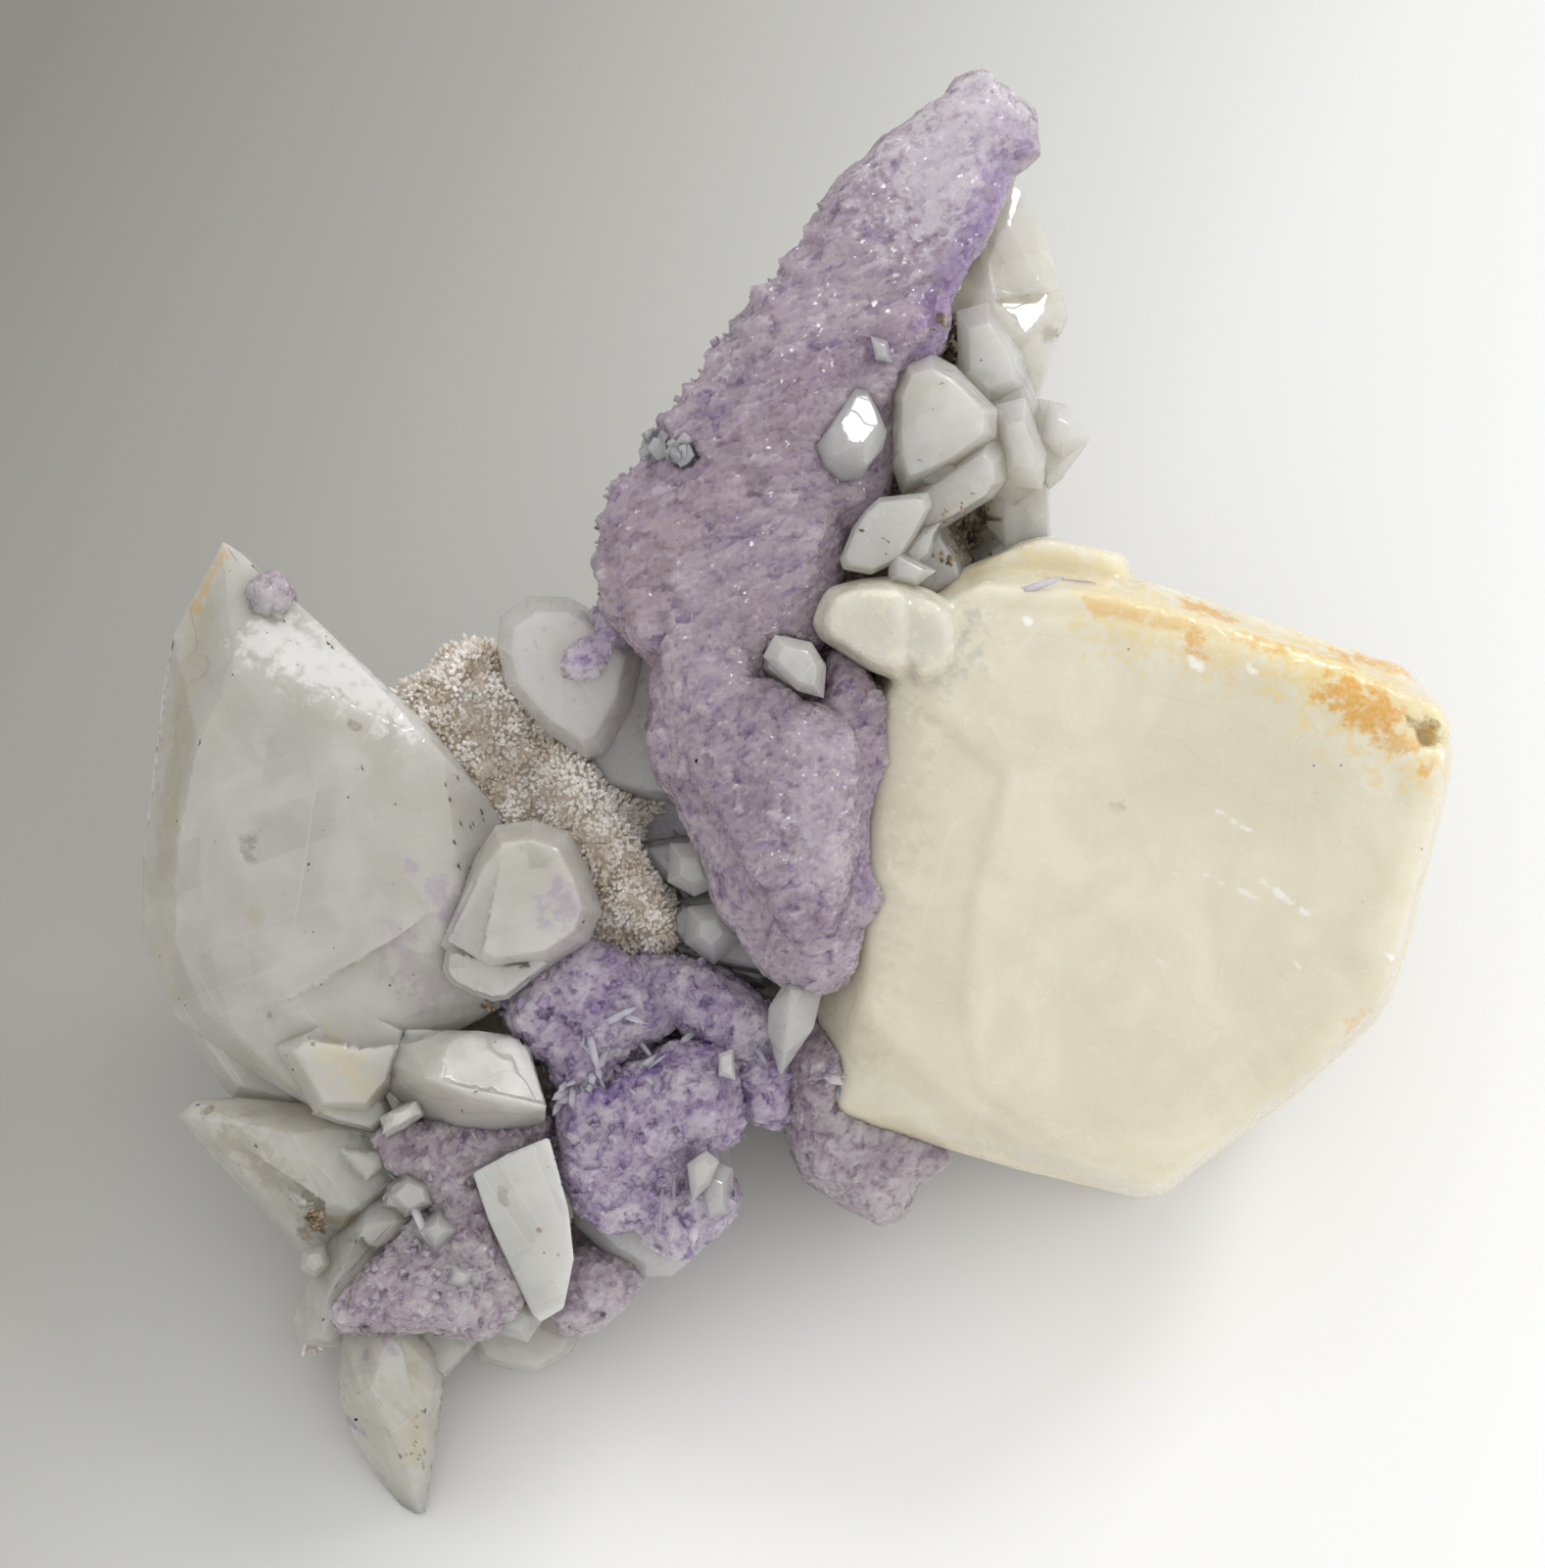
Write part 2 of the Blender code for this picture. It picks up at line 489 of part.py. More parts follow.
def crusted_calcite():
    """The crystal under the lower fluorite crust."""
    main = crystal([(-17.0, -30.0), (-16.0, -36.0), (-13.5, -38.4), (-10.4, -40.2), (-8.2, -40.1),
                    (-7.8, -38.2), (-5.3, -37.6), (-3.3, -34.2), (-3.5, -30.0), (-4.0, -25.5),
                    (-8.0, -23.5), (-14.0, -26.0)], -0.5, 2.6, -9.0, face=0.82, tail=0.5,
                   root=(-12.0, -14.0))
    upper = crystal([(-15.0, -25.5), (-13.6, -23.4), (-11.5, -21.8), (-9.0, -21.6), (-6.5, -23.0),
                     (-9.0, -27.5)], -1.5, 1.4, -9.0)
    yellow = crystal([(-6.9, -31.0), (-5.4, -30.0), (-4.4, -30.8), (-5.2, -32.6), (-6.4, -34.0),
                      (-7.0, -33.0)], 2.0, 4.6, -2.0)
    return add_calcite("calcite_under_crust", [main, upper, yellow], CLEAR)


def front_blade():
    """The small pointed blade in the middle, in front of the right calcite."""
    corners = [
        (1.3, -15.6, 8.0), (4.3, -16.4, 8.0), (3.4, -20.0, 7.4), (0.6, -24.0, 5.0), (-0.5, -20.0, 6.0),
        (-0.4, -18.2, 6.6), (1.6, -17.0, 10.4), (1.0, -22.0, 8.0), (1.6, -17.5, 3.0), (1.0, -21.0, 2.0),
    ]
    return add_calcite("calcite_front_blade", [corners], MILKY)


def hollow_calcites():
    """The pale crystal left of the blade and the small ones in the hollow below it."""
    pale = crystal([(-22.4, 11.2), (-22.1, 13.6), (-19.9, 15.2), (-16.7, 15.1), (-14.3, 13.8), (-11.0, 10.6),
                    (-11.8, 6.6), (-13.0, 6.3), (-14.1, 2.6), (-15.2, 2.3), (-18.4, 4.3), (-21.6, 8.0)],
                   0.5, 4.6, -9.0, face=0.78, root=(-12.0, 6.0))
    grey = crystal([(-15.4, 2.2), (-13.4, 9.0), (-12.0, 11.5), (-7.0, 11.0), (-5.5, 2.0), (-7.0, -1.5),
                    (-10.0, -1.2), (-13.6, -0.4)], -3.4, -1.2, -14.0, face=0.85)
    dark_wedge = crystal([(-11.0, -4.9), (-6.5, -4.4), (-5.0, -8.0), (-7.4, -8.8), (-9.5, -7.6)],
                         -4.0, -1.4, -12.0)
    pale_chip = crystal([(-7.2, -5.3), (-5.6, -5.0), (-4.6, -7.8), (-6.0, -7.8), (-7.9, -7.0)],
                        -1.6, 0.6, -8.0)
    clear_chip = crystal([(-7.9, -10.8), (-7.2, -9.8), (-6.1, -10.3), (-5.7, -12.3), (-7.0, -13.4),
                          (-7.8, -12.2)], -1.0, 1.2, -8.0)
    floor_wedge = crystal([(-8.0, -9.0), (-3.0, -8.0), (0.5, -14.0), (-0.4, -16.6), (-6.0, -15.6),
                           (-8.6, -14.0)], -5.0, -2.6, -12.0, face=0.85)
    pale_wedge = crystal([(-3.4, -11.2), (-1.6, -11.9), (0.6, -14.4), (-1.0, -15.4), (-4.8, -14.6)],
                         -1.0, 1.6, -8.0)
    backing = crystal([(-12.0, 0.0), (-5.0, 0.0), (-3.0, -9.0), (-8.6, -10.0), (-12.2, -5.0)],
                      -6.5, -5.0, -13.0, face=0.9)
    parts = [pale, grey, dark_wedge, pale_chip, clear_chip, floor_wedge, pale_wedge, backing]
    return add_calcite("calcite_hollow", parts, CLEAR)


def small_white_calcites():
    """The two small crystals in the notch between the upper and the lower blade."""
    upper = crystal([(-1.0, 9.4), (-0.7, 12.0), (0.9, 12.4), (3.3, 11.4), (4.4, 9.8), (4.5, 7.0),
                     (2.6, 7.0), (0.9, 7.8)], 8.6, 11.2, 1.0, face=0.75)
    lower = crystal([(0.0, 8.4), (2.5, 8.6), (2.7, 6.6), (0.6, 6.0), (-0.4, 7.0)], 6.4, 8.0, 0.0)
    return add_calcite("calcite_notch", [upper, lower], CLEAR)


def gem_calcite():
    """The clear crystal with bright faces in front of the upper blade."""
    corners = [
        (6.8, 32.4, 9.0), (5.5, 30.5, 9.0), (4.4, 28.8, 9.0), (3.3, 27.4, 9.0), (4.2, 25.5, 9.0),
        (5.5, 24.6, 9.0), (7.2, 24.9, 9.4), (8.0, 26.0, 9.6), (9.0, 27.3, 9.8), (9.4, 28.7, 9.8),
        (8.8, 30.2, 9.6), (7.8, 32.1, 9.2), (4.7, 26.8, 11.4), (7.3, 27.6, 13.2), (7.9, 26.3, 12.0),
        (4.7, 28.9, 11.2), (6.8, 30.0, 12.4), (7.6, 30.2, 12.4), (5.6, 28.0, 2.0), (7.5, 29.0, 2.0),
    ]
    return add_calcite("calcite_gem", [corners], WHITE, roughness=0.1)


def upper_calcites():
    """The cluster at the right of the upper blade."""
    rhomb = crystal([(5.7, 18.3), (5.9, 17.7), (8.0, 17.3), (10.3, 18.4), (11.5, 20.3), (12.8, 22.7),
                     (12.6, 23.6), (8.8, 23.2), (7.7, 22.2), (6.7, 20.8)], 10.0, 11.8, -1.0, face=0.84,
                    root=(12.5, 21.0))
    slanted = crystal([(10.8, 19.8), (14.2, 21.2), (17.9, 23.5), (19.0, 25.0), (18.9, 27.0), (18.0, 28.2),
                       (10.8, 23.4)], 5.0, 8.6, -5.0, face=0.66, root=UPPER_ROOT)
    rounded = crystal([(9.9, 32.0), (11.0, 34.5), (12.9, 35.0), (14.8, 34.0), (16.4, 32.4), (18.2, 30.5),
                       (18.1, 28.4), (15.0, 26.0), (12.4, 24.7), (10.6, 23.9), (9.9, 26.0)],
                      6.0, 10.6, -6.0, root=UPPER_ROOT)
    grey = crystal([(13.4, 21.0), (11.4, 20.4), (10.0, 16.0), (13.0, 15.0), (15.8, 16.4), (15.2, 18.0),
                    (14.1, 19.6)], 3.4, 5.6, -7.0, root=UPPER_ROOT)
    block_top = crystal([(18.5, 25.4), (22.4, 25.4), (22.5, 19.0), (19.0, 19.0), (18.7, 21.4)],
                        -3.0, -1.0, -11.0, face=0.9, root=UPPER_ROOT)
    block_foot = crystal([(16.6, 18.2), (19.2, 20.0), (22.5, 20.0), (22.5, 15.0), (16.6, 15.0)],
                         -3.0, -1.4, -11.0, face=0.9, root=UPPER_ROOT)
    pale = crystal([(16.0, 25.5), (16.5, 31.5), (20.6, 34.0), (21.6, 31.0), (22.6, 25.0),
                    (19.6, 22.8)], -1.0, 2.2, -10.0, root=UPPER_ROOT)
    point = crystal([(19.6, 31.3), (21.6, 31.3), (23.8, 30.8), (24.8, 29.4), (25.7, 28.1), (24.5, 26.7),
                     (23.5, 25.0), (22.3, 24.0), (19.6, 25.0)], -2.5, 1.0, -9.0, face=0.6,
                    root=UPPER_ROOT)
    parts = [rounded, slanted, rhomb, grey, pale, block_top, block_foot, point]
    return add_calcite("calcite_upper_cluster", parts, CLEAR)


def back_calcite():
    """The crystal behind the upper blade, at the upper right."""
    corners = [
        (18.0, 47.6, -5.0), (19.6, 48.9, -5.0), (20.4, 48.3, -5.0), (21.5, 46.5, -5.0),
        (22.5, 44.5, -5.5), (23.1, 42.5, -6.0), (23.6, 40.5, -6.0), (24.1, 38.0, -6.0),
        (23.6, 36.8, -5.5), (22.6, 35.4, -5.0), (21.2, 33.5, -5.0), (15.0, 33.0, -6.0),
        (12.0, 36.0, -8.0), (13.0, 42.0, -8.0),
        (18.8, 43.6, -1.6), (18.2, 39.4, -0.6), (22.3, 40.0, -2.8), (20.6, 37.1, -1.6),
        (17.6, 35.0, -1.2), (16.0, 38.5, -1.6), (16.0, 36.0, -13.0), (18.0, 41.0, -12.0),
        (20.5, 37.5, -12.0),
    ]
    lower = crystal([(21.6, 38.0), (23.8, 37.6), (22.9, 35.8), (21.2, 33.4), (21.6, 31.0), (18.0, 31.0),
                     (17.0, 35.0)], -5.0, -2.6, -10.0, face=0.85)
    return add_calcite("calcite_back_upper", [corners, lower], MILKY)


UPPER_BLADE = [
    (16.4, 57.7), (15.7, 57.3), (15.0, 56.0), (13.0, 55.1), (11.5, 53.6), (9.8, 52.4), (7.5, 50.4),
    (6.0, 49.1), (5.0, 47.4), (3.3, 46.4), (3.4, 44.7), (1.7, 43.3), (1.2, 42.0), (0.2, 40.9),
    (-1.8, 39.6), (-2.5, 38.0), (-3.2, 36.5), (-4.8, 35.4), (-5.2, 33.5), (-6.4, 32.8), (-7.3, 31.0),
    (-9.2, 29.7), (-9.3, 26.4), (-12.0, 25.3), (-13.1, 24.0), (-14.0, 21.0), (-14.3, 17.0), (-13.3, 14.1),
    (-11.5, 12.0), (-9.0, 10.0), (-8.6, 6.0), (0.0, 7.0), (4.0, 12.0), (5.0, 17.0), (5.6, 20.4),
    (8.8, 23.0), (10.0, 33.4), (13.1, 35.3), (13.9, 37.5), (13.5, 39.4), (15.0, 41.5), (16.9, 44.6),
    (18.6, 47.8), (19.5, 50.7), (21.3, 51.4), (20.8, 55.0), (19.5, 55.7), (17.1, 57.6),
]
LOWER_BLADE = [
    (-8.8, 9.5), (-9.1, 6.4), (-9.7, 4.0), (-9.5, 2.3), (-8.7, 0.7), (-7.5, -1.3), (-6.3, -4.1),
    (-5.1, -5.7), (-4.7, -7.3), (-3.6, -10.5), (-2.3, -12.2), (-0.3, -14.9), (0.9, -15.9),
    (3.3, -16.8), (5.0, -16.3), (6.2, -15.2), (6.6, -13.6), (7.2, -11.6), (8.2, -9.6), (8.1, -8.8),
    (7.2, -7.2), (7.5, -5.5), (7.7, -3.2), (8.0, -0.8), (8.5, 0.9), (9.3, 4.0), (9.4, 5.7), (8.5, 6.9),
    (7.3, 8.9), (6.5, 10.2), (4.9, 10.7), (4.4, 8.8), (4.2, 7.1), (2.5, 5.9), (0.0, 4.5), (-1.2, 5.0),
    (-1.9, 8.0), (-1.5, 12.0), (-6.0, 14.0),
]


def blade():
    """The etched fluorite blade: the upper and the lower one grown into each other."""
    upper = plate(UPPER_BLADE, 6.2, -2.2, lean=(0.0, -0.05), edge=2.0)
    spine = hull([(15.0, 55.0, 5.6), (19.0, 54.0, 5.0), (17.0, 49.0, 6.0), (9.0, 49.0, 6.6),
                  (3.0, 40.0, 8.0), (10.0, 38.0, 7.6), (-3.0, 31.0, 9.0), (5.0, 26.0, 9.4),
                  (-8.0, 22.0, 9.2), (-9.0, 15.0, 9.0), (2.0, 16.0, 9.8), (-3.0, 9.0, 9.6),
                  (16.0, 53.0, -5.0), (6.0, 42.0, -6.0), (-3.0, 30.0, -7.0), (4.0, 26.0, -8.0),
                  (-8.0, 18.0, -7.0), (0.0, 14.0, -8.0)])
    lower = plate(LOWER_BLADE, 9.2, 1.8, lean=(0.05, -0.02), edge=1.8)
    lower_spine = hull([(-6.5, 8.0, 11.0), (-3.0, 9.5, 11.0), (-6.5, 2.0, 12.0), (-2.0, -6.0, 13.4),
                        (2.0, -12.5, 12.6), (4.6, -13.0, 12.4), (5.0, -6.0, 14.0), (5.0, 2.0, 14.0),
                        (7.0, 4.0, 12.4), (0.0, 1.5, 13.4), (-5.0, 6.0, 0.0), (-1.0, -6.0, 1.0),
                        (3.0, -11.0, 3.0), (5.0, 0.0, 4.0)])
    return add_grown_mass("fluorite_blade", [upper, spine, lower, lower_spine], BLADE_VOXEL,
                          BLADE_RELIEF, 2.6, BLADE_TRIANGLES, LILAC, seed=1)


def crust():
    """The saturated violet crust over the lower calcite."""
    outline = [
        (-17.1, -25.7), (-15.2, -24.6), (-13.6, -25.4), (-11.1, -23.4), (-8.8, -22.0), (-5.9, -21.3),
        (-4.7, -21.9), (-3.5, -22.4), (-3.1, -25.4), (-2.8, -27.0), (-3.5, -29.0), (-5.0, -29.8),
        (-6.9, -30.4), (-7.4, -33.6), (-4.9, -33.0), (-4.1, -31.2), (-3.4, -33.6), (-4.4, -35.8),
        (-7.1, -38.1), (-9.3, -38.0), (-10.3, -35.4), (-13.6, -36.4), (-15.3, -34.6), (-17.0, -31.6),
        (-16.6, -28.6),
    ]
    shell = plate(outline, 4.2, -2.5, lean=(0.0, -0.04), edge=1.4)
    dome = hull([(-13.5, -27.0, 5.4), (-8.0, -23.6, 6.0), (-4.8, -24.0, 5.6), (-5.4, -28.0, 6.4),
                 (-11.0, -31.0, 6.4), (-9.0, -29.0, 7.2), (-13.0, -32.5, 4.6), (-10.0, -26.0, 0.0)])
    return add_grown_mass("fluorite_crust", [shell, dome], CRUST_VOXEL, CRUST_RELIEF, 2.0,
                          CRUST_TRIANGLES, VIOLET, seed=2)


def centre_mass():
    """The dark mass at the centre and the ridge that runs from it to the right."""
    mass = plate([(-21.6, -19.3), (-19.9, -16.2), (-17.6, -14.6), (-15.0, -13.2), (-12.4, -14.4),
                  (-9.6, -16.8), (-8.9, -19.8), (-11.5, -21.6), (-13.4, -23.0), (-14.5, -26.0),
                  (-16.4, -26.4), (-17.8, -22.4), (-20.0, -21.0)], 3.4, -7.0, edge=1.2)
    knot = hull([(-19.0, -18.0, 4.0), (-16.0, -16.0, 5.0), (-11.0, -17.0, 4.6), (-10.0, -19.6, 4.0),
                 (-14.0, -20.6, 5.2), (-16.0, -24.5, 3.8), (-18.0, -20.0, 4.2), (-14.0, -18.0, -4.0)])
    ridge = plate([(-12.4, -14.6), (-9.0, -14.8), (-6.0, -15.4), (-3.9, -16.0), (-1.6, -17.4), (0.4, -19.6),
                   (0.9, -23.4), (0.9, -27.6), (-0.6, -27.6), (-1.8, -26.0), (-3.0, -23.4), (-5.4, -21.0),
                   (-7.1, -19.4), (-9.4, -18.2), (-10.4, -16.6)], 3.0, -7.0, edge=1.2)
    crest = hull([(-10.0, -15.6, 3.4), (-6.0, -16.8, 4.8), (-2.0, -19.0, 4.8), (-1.0, -23.0, 3.6),
                  (-4.0, -20.5, 4.4), (-7.0, -18.2, 3.8), (-4.0, -19.0, -3.0)])
    return add_grown_mass("fluorite_centre", [mass, knot, ridge, crest], CRUST_VOXEL, CRUST_RELIEF, 1.8,
                          CRUST_TRIANGLES, VIOLET, seed=3)


def lower_left_mass():
    """The band between the calcites at the lower left and the granular patch below it."""
    band = plate([(-32.4, -29.0), (-31.0, -27.6), (-25.0, -27.6), (-18.4, -27.2), (-17.8, -28.4),
                  (-20.4, -29.6), (-24.0, -31.4), (-23.4, -35.0), (-21.6, -38.6), (-20.0, -42.6),
                  (-22.0, -44.0), (-24.4, -44.7), (-28.7, -43.8), (-31.0, -44.6), (-33.5, -44.2),
                  (-35.3, -44.3), (-35.7, -42.6), (-34.2, -41.4), (-32.7, -39.9), (-31.6, -38.8),
                  (-30.0, -37.0), (-28.0, -34.8), (-28.6, -32.6), (-31.0, -31.2)], 2.2, -8.0, edge=1.1)
    bulge = hull([(-30.0, -29.6, 3.0), (-26.0, -29.4, 3.4), (-26.6, -33.6, 3.6), (-25.0, -36.6, 3.0),
                  (-27.6, -34.0, 3.4), (-28.0, -31.0, -3.0)])
    patch = hull([(-33.6, -42.6, 3.0), (-31.0, -40.0, 3.6), (-26.6, -40.2, 4.2), (-23.6, -41.6, 3.4),
                  (-24.6, -43.6, 3.2), (-29.0, -42.8, 4.2), (-33.0, -43.8, 2.6), (-28.0, -42.0, -4.0)])
    return add_grown_mass("fluorite_lower_left", [band, bulge, patch], CRUST_VOXEL, CRUST_RELIEF, 1.6,
                          CRUST_TRIANGLES, MAUVE, seed=4)


def lobe():
    """The pale lobe beside the white blade's lower end."""
    front = plate([(-17.6, -43.6), (-17.2, -41.4), (-16.3, -38.9), (-15.0, -38.2), (-12.0, -39.0),
                   (-10.8, -40.0), (-12.5, -42.5), (-15.0, -44.2), (-16.7, -44.5)], 0.6, -3.0, edge=1.0)
    root = hull([(-17.2, -42.0, -2.0), (-16.0, -38.6, -2.0), (-11.4, -39.8, -2.0), (-14.6, -43.6, -2.4),
                 (-17.0, -36.0, -8.0), (-13.0, -35.0, -8.0), (-15.0, -39.0, -8.0)])
    return add_grown_mass("fluorite_lobe", [front, root], CRUST_VOXEL, CRUST_RELIEF * 0.6, 1.8,
                          BUMP_TRIANGLES * 2, MAUVE, seed=5)


def base_lump():
    """The greyish purple lump under the right calcite, down to the table."""
    front = plate([(0.4, -24.6), (0.8, -21.0), (2.4, -18.2), (5.0, -18.6), (7.5, -21.0), (10.0, -26.0),
                   (14.3, -29.6), (13.6, -31.1), (12.0, -31.2), (11.2, -33.0), (10.5, -34.7), (8.8, -35.4),
                   (6.0, -33.9), (3.0, -31.8), (1.6, -28.0)], 0.6, -13.0, lean=(0.0, 0.12), edge=1.6)
    knob = hull([(3.0, -22.0, 4.6), (4.6, -21.4, 5.0), (6.2, -22.4, 4.4), (5.6, -24.4, 4.6),
                 (3.6, -24.8, 4.2), (4.0, -23.0, -4.0), (6.0, -25.0, -4.0), (2.4, -20.6, -4.0)])
    below = table_depth(-31.0, height=-1.0)
    root = hull([(3.0, -22.0, -10.0), (13.0, -27.0, -10.0), (11.0, -32.5, -12.0), (4.0, -30.5, -12.0),
                 (5.0, -29.0, below), (11.0, -31.0, below), (10.0, -24.0, below - 1.0),
                 (3.0, -22.0, below)])
    return add_grown_mass("fluorite_base_lump", [front, knob, root], ROCK_VOXEL, CRUST_RELIEF, 2.4,
                          LUMP_TRIANGLES, MAUVE, seed=6)


def bump():
    """The small round fluorite on the left calcite."""
    form = hull([(-41.1 + 2.0 * math.cos(turn), 15.0 + 2.2 * math.sin(turn), depth)
                 for turn in [step * math.pi / 5 for step in range(10)] for depth in (-0.5, 2.2)]
                + [(-41.3, 15.2, 3.4), (-40.6, 14.4, 3.2)])
    return add_grown_mass("fluorite_bump", [form], 0.45, 0.25, 1.2, BUMP_TRIANGLES, MAUVE, seed=7)


def tuft():
    """The small dark tuft on the pale calcite, with the crust that trails from it."""
    dark = hull([(-15.2, 12.6, 3.0), (-14.6, 14.4, 2.6), (-13.3, 15.0, 2.6), (-12.0, 13.6, 3.0),
                 (-11.8, 11.2, 3.4), (-14.0, 11.0, 5.0), (-13.2, 13.4, 5.8), (-13.6, 12.4, 0.0)])
    trail = hull([(-15.0, 12.0, 5.0), (-17.0, 10.6, 5.0), (-17.2, 9.0, 4.6), (-15.2, 8.4, 5.0),
                  (-13.0, 11.0, 5.4), (-15.4, 10.2, 6.0), (-15.0, 10.0, 1.0)])
    return add_grown_mass("fluorite_tuft", [dark, trail], 0.5, 0.35, 1.3, BUMP_TRIANGLES * 2, VIOLET, seed=8)


def side_cluster():
    """The small clear crystals on the left edge of the upper blade."""
    left = crystal([(-10.5, 27.4), (-9.8, 28.6), (-8.6, 28.2), (-8.3, 26.6), (-9.4, 26.0)], 5.6, 8.2, -1.0)
    right = crystal([(-8.7, 27.0), (-8.0, 28.2), (-6.6, 28.0), (-6.1, 26.8), (-6.8, 25.9), (-7.6, 25.5)],
                    6.2, 9.6, -1.0)
    return add_calcite("quartz_side_cluster", [left, right], WHITE, roughness=0.12)


def matrix():
    """The rock with its drusy slab in front and a flat base on the table."""
    slab = plate([(-30.4, 6.8), (-27.2, 9.2), (-24.8, 10.9), (-23.4, 9.8), (-21.4, 6.6), (-18.4, 3.6),
                  (-15.8, 1.8), (-13.4, -1.2), (-11.8, -4.6), (-9.6, -8.2), (-7.4, -12.0), (-7.8, -13.7),
                  (-9.4, -15.1), (-12.0, -15.3), (-18.0, -14.0), (-27.0, -8.0), (-32.0, 0.0)],
                 -1.6, -11.0, edge=0.8)
    crest = hull([(-16.6, 1.2, -1.0), (-14.0, -1.0, 0.2), (-8.2, -11.6, 0.8), (-8.4, -13.6, -1.0),
                  (-10.4, -15.0, -3.0), (-14.4, -10.6, -1.4), (-16.0, -5.0, 0.4), (-11.4, -8.6, 2.2),
                  (-9.6, -11.6, 2.0), (-13.0, -8.0, -9.0)])
    shelf = hull([(-30.0, 3.0, -5.0), (-22.0, 8.0, -3.4), (-19.5, 13.0, -4.0), (-10.0, 13.0, -4.6),
                  (-3.0, 12.0, -4.0), (0.0, 2.0, -4.6), (-8.0, -2.0, -8.0), (-20.0, -4.0, -4.0),
                  (-26.0, 4.0, -14.0), (-16.0, 10.0, -16.0), (0.0, 8.0, -16.0), (-12.0, -6.0, -16.0)])
    core = hull([(-32.0, 0.0, -9.0), (-24.0, 6.0, -10.0), (-12.0, 10.0, -10.0), (3.0, 14.0, -6.0),
                 (16.0, 12.0, -8.0), (22.0, 4.0, -12.0), (22.0, -12.0, -12.0), (12.0, -22.0, -8.0),
                 (0.0, -24.0, -6.0), (-12.0, -27.0, -6.0), (-28.0, -26.0, -6.0), (-34.0, -14.0, -9.0),
                 (-12.0, -10.0, -5.0), (6.0, -4.0, -4.0),
                 ground(-24.0, -2.0, 16.0), ground(-21.0, 22.0, 12.0), ground(6.0, 32.0, 14.0),
                 ground(24.0, 18.0, 12.0)])
    base = hull([ground(-19.0, -4.0, 14.0), ground(20.0, -4.0, 14.0), ground(20.0, 22.0, 14.0),
                 ground(-16.0, 22.0, 14.0), ground(-20.0, -6.0, -2.0), ground(-21.0, 12.0, -2.0),
                 ground(-12.0, 27.0, -2.0), ground(10.0, 31.0, -2.0), ground(23.0, 24.0, -2.0),
                 ground(21.0, 2.0, -2.0), ground(8.0, -10.0, -2.0)])
    knob = hull([ground(-27.0, 4.0, 10.0), ground(-22.0, -8.0, 9.0), ground(-15.0, -10.0, 18.0),
                 ground(-24.0, 10.0, 17.0), ground(-20.0, 2.0, 4.0), ground(-14.0, 4.0, 20.0)])
    arm = hull([(4.0, 14.0, -4.0), (8.0, 34.0, -7.0), (13.0, 38.6, -6.0), (15.2, 38.4, -6.6),
                (15.6, 34.8, -7.0), (19.0, 26.0, -9.0), (20.0, 14.0, -9.0), (15.8, 20.6, -6.0),
                (10.0, 34.0, -14.0), (6.0, 20.0, -18.0), (18.0, 22.0, -16.0), (16.0, 8.0, -20.0)])
    bridge = hull([ground(-25.0, 4.0, 11.0), ground(-6.0, 4.0, 13.0), ground(-25.0, 4.0, 4.0),
                   ground(-6.0, 4.0, 3.0), (-15.0, -34.0, -11.0), (-33.0, -34.0, -11.0),
                   (-18.0, -33.0, -15.4), (-30.0, -33.0, -15.4)])
    foot = hull([(-37.0, -30.0, -8.0), (-22.0, -28.0, -6.0), (-21.0, -42.0, -8.0), (-33.0, -43.0, -9.0),
                 (-36.0, -37.0, -8.0), (-34.0, -30.0, -15.0), (-22.0, -30.0, -16.0),
                 (-24.0, -40.0, -12.0), (-32.0, -40.0, -12.0)])
    spur = hull([(-38.9, -45.4, -8.0), (-38.4, -46.8, -8.4), (-36.6, -46.9, -8.4), (-35.0, -45.0, -8.0),
                 (-36.0, -42.0, -8.0), (-38.6, -45.6, -11.0), (-36.6, -46.2, -12.0), (-33.0, -42.0, -12.0)])
    forms = [slab, crest, shelf, core, base, knob, bridge, arm, foot, spur]
    return add_grown_mass("matrix_rock", forms, ROCK_VOXEL, ROCK_RELIEF, 5.0, ROCK_TRIANGLES, ROCK,
                          seed=9, roughness=0.85)


right_calcite()
left_calcite()
lower_left_calcites()
white_blade()
front_blade()
gem_calcite()
upper_calcites()
back_calcite()
small_white_calcites()
side_cluster()
crusted_calcite()
hollow_calcites()
blade()
crust()
centre_mass()
lower_left_mass()
lobe()
base_lump()
bump()
tuft()
matrix()
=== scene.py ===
# %% [markdown]
# # Etched fluorite with calcite on drusy rock
#
# The specimen is a natural cluster: milky and cream calcite crystals, an etched purple fluorite
# blade, violet fluorite crusts, and a rock that carries them all under a skin of fine quartz.
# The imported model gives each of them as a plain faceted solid. This lesson turns those solids
# into crystals: it refines them, etches or rounds them, sprinkles small crystals over them and
# gives each mineral its own finish.

import math
import random

import bmesh
import bpy
import numpy as np
from mathutils import Matrix, Vector, noise
from mathutils.bvhtree import BVHTree


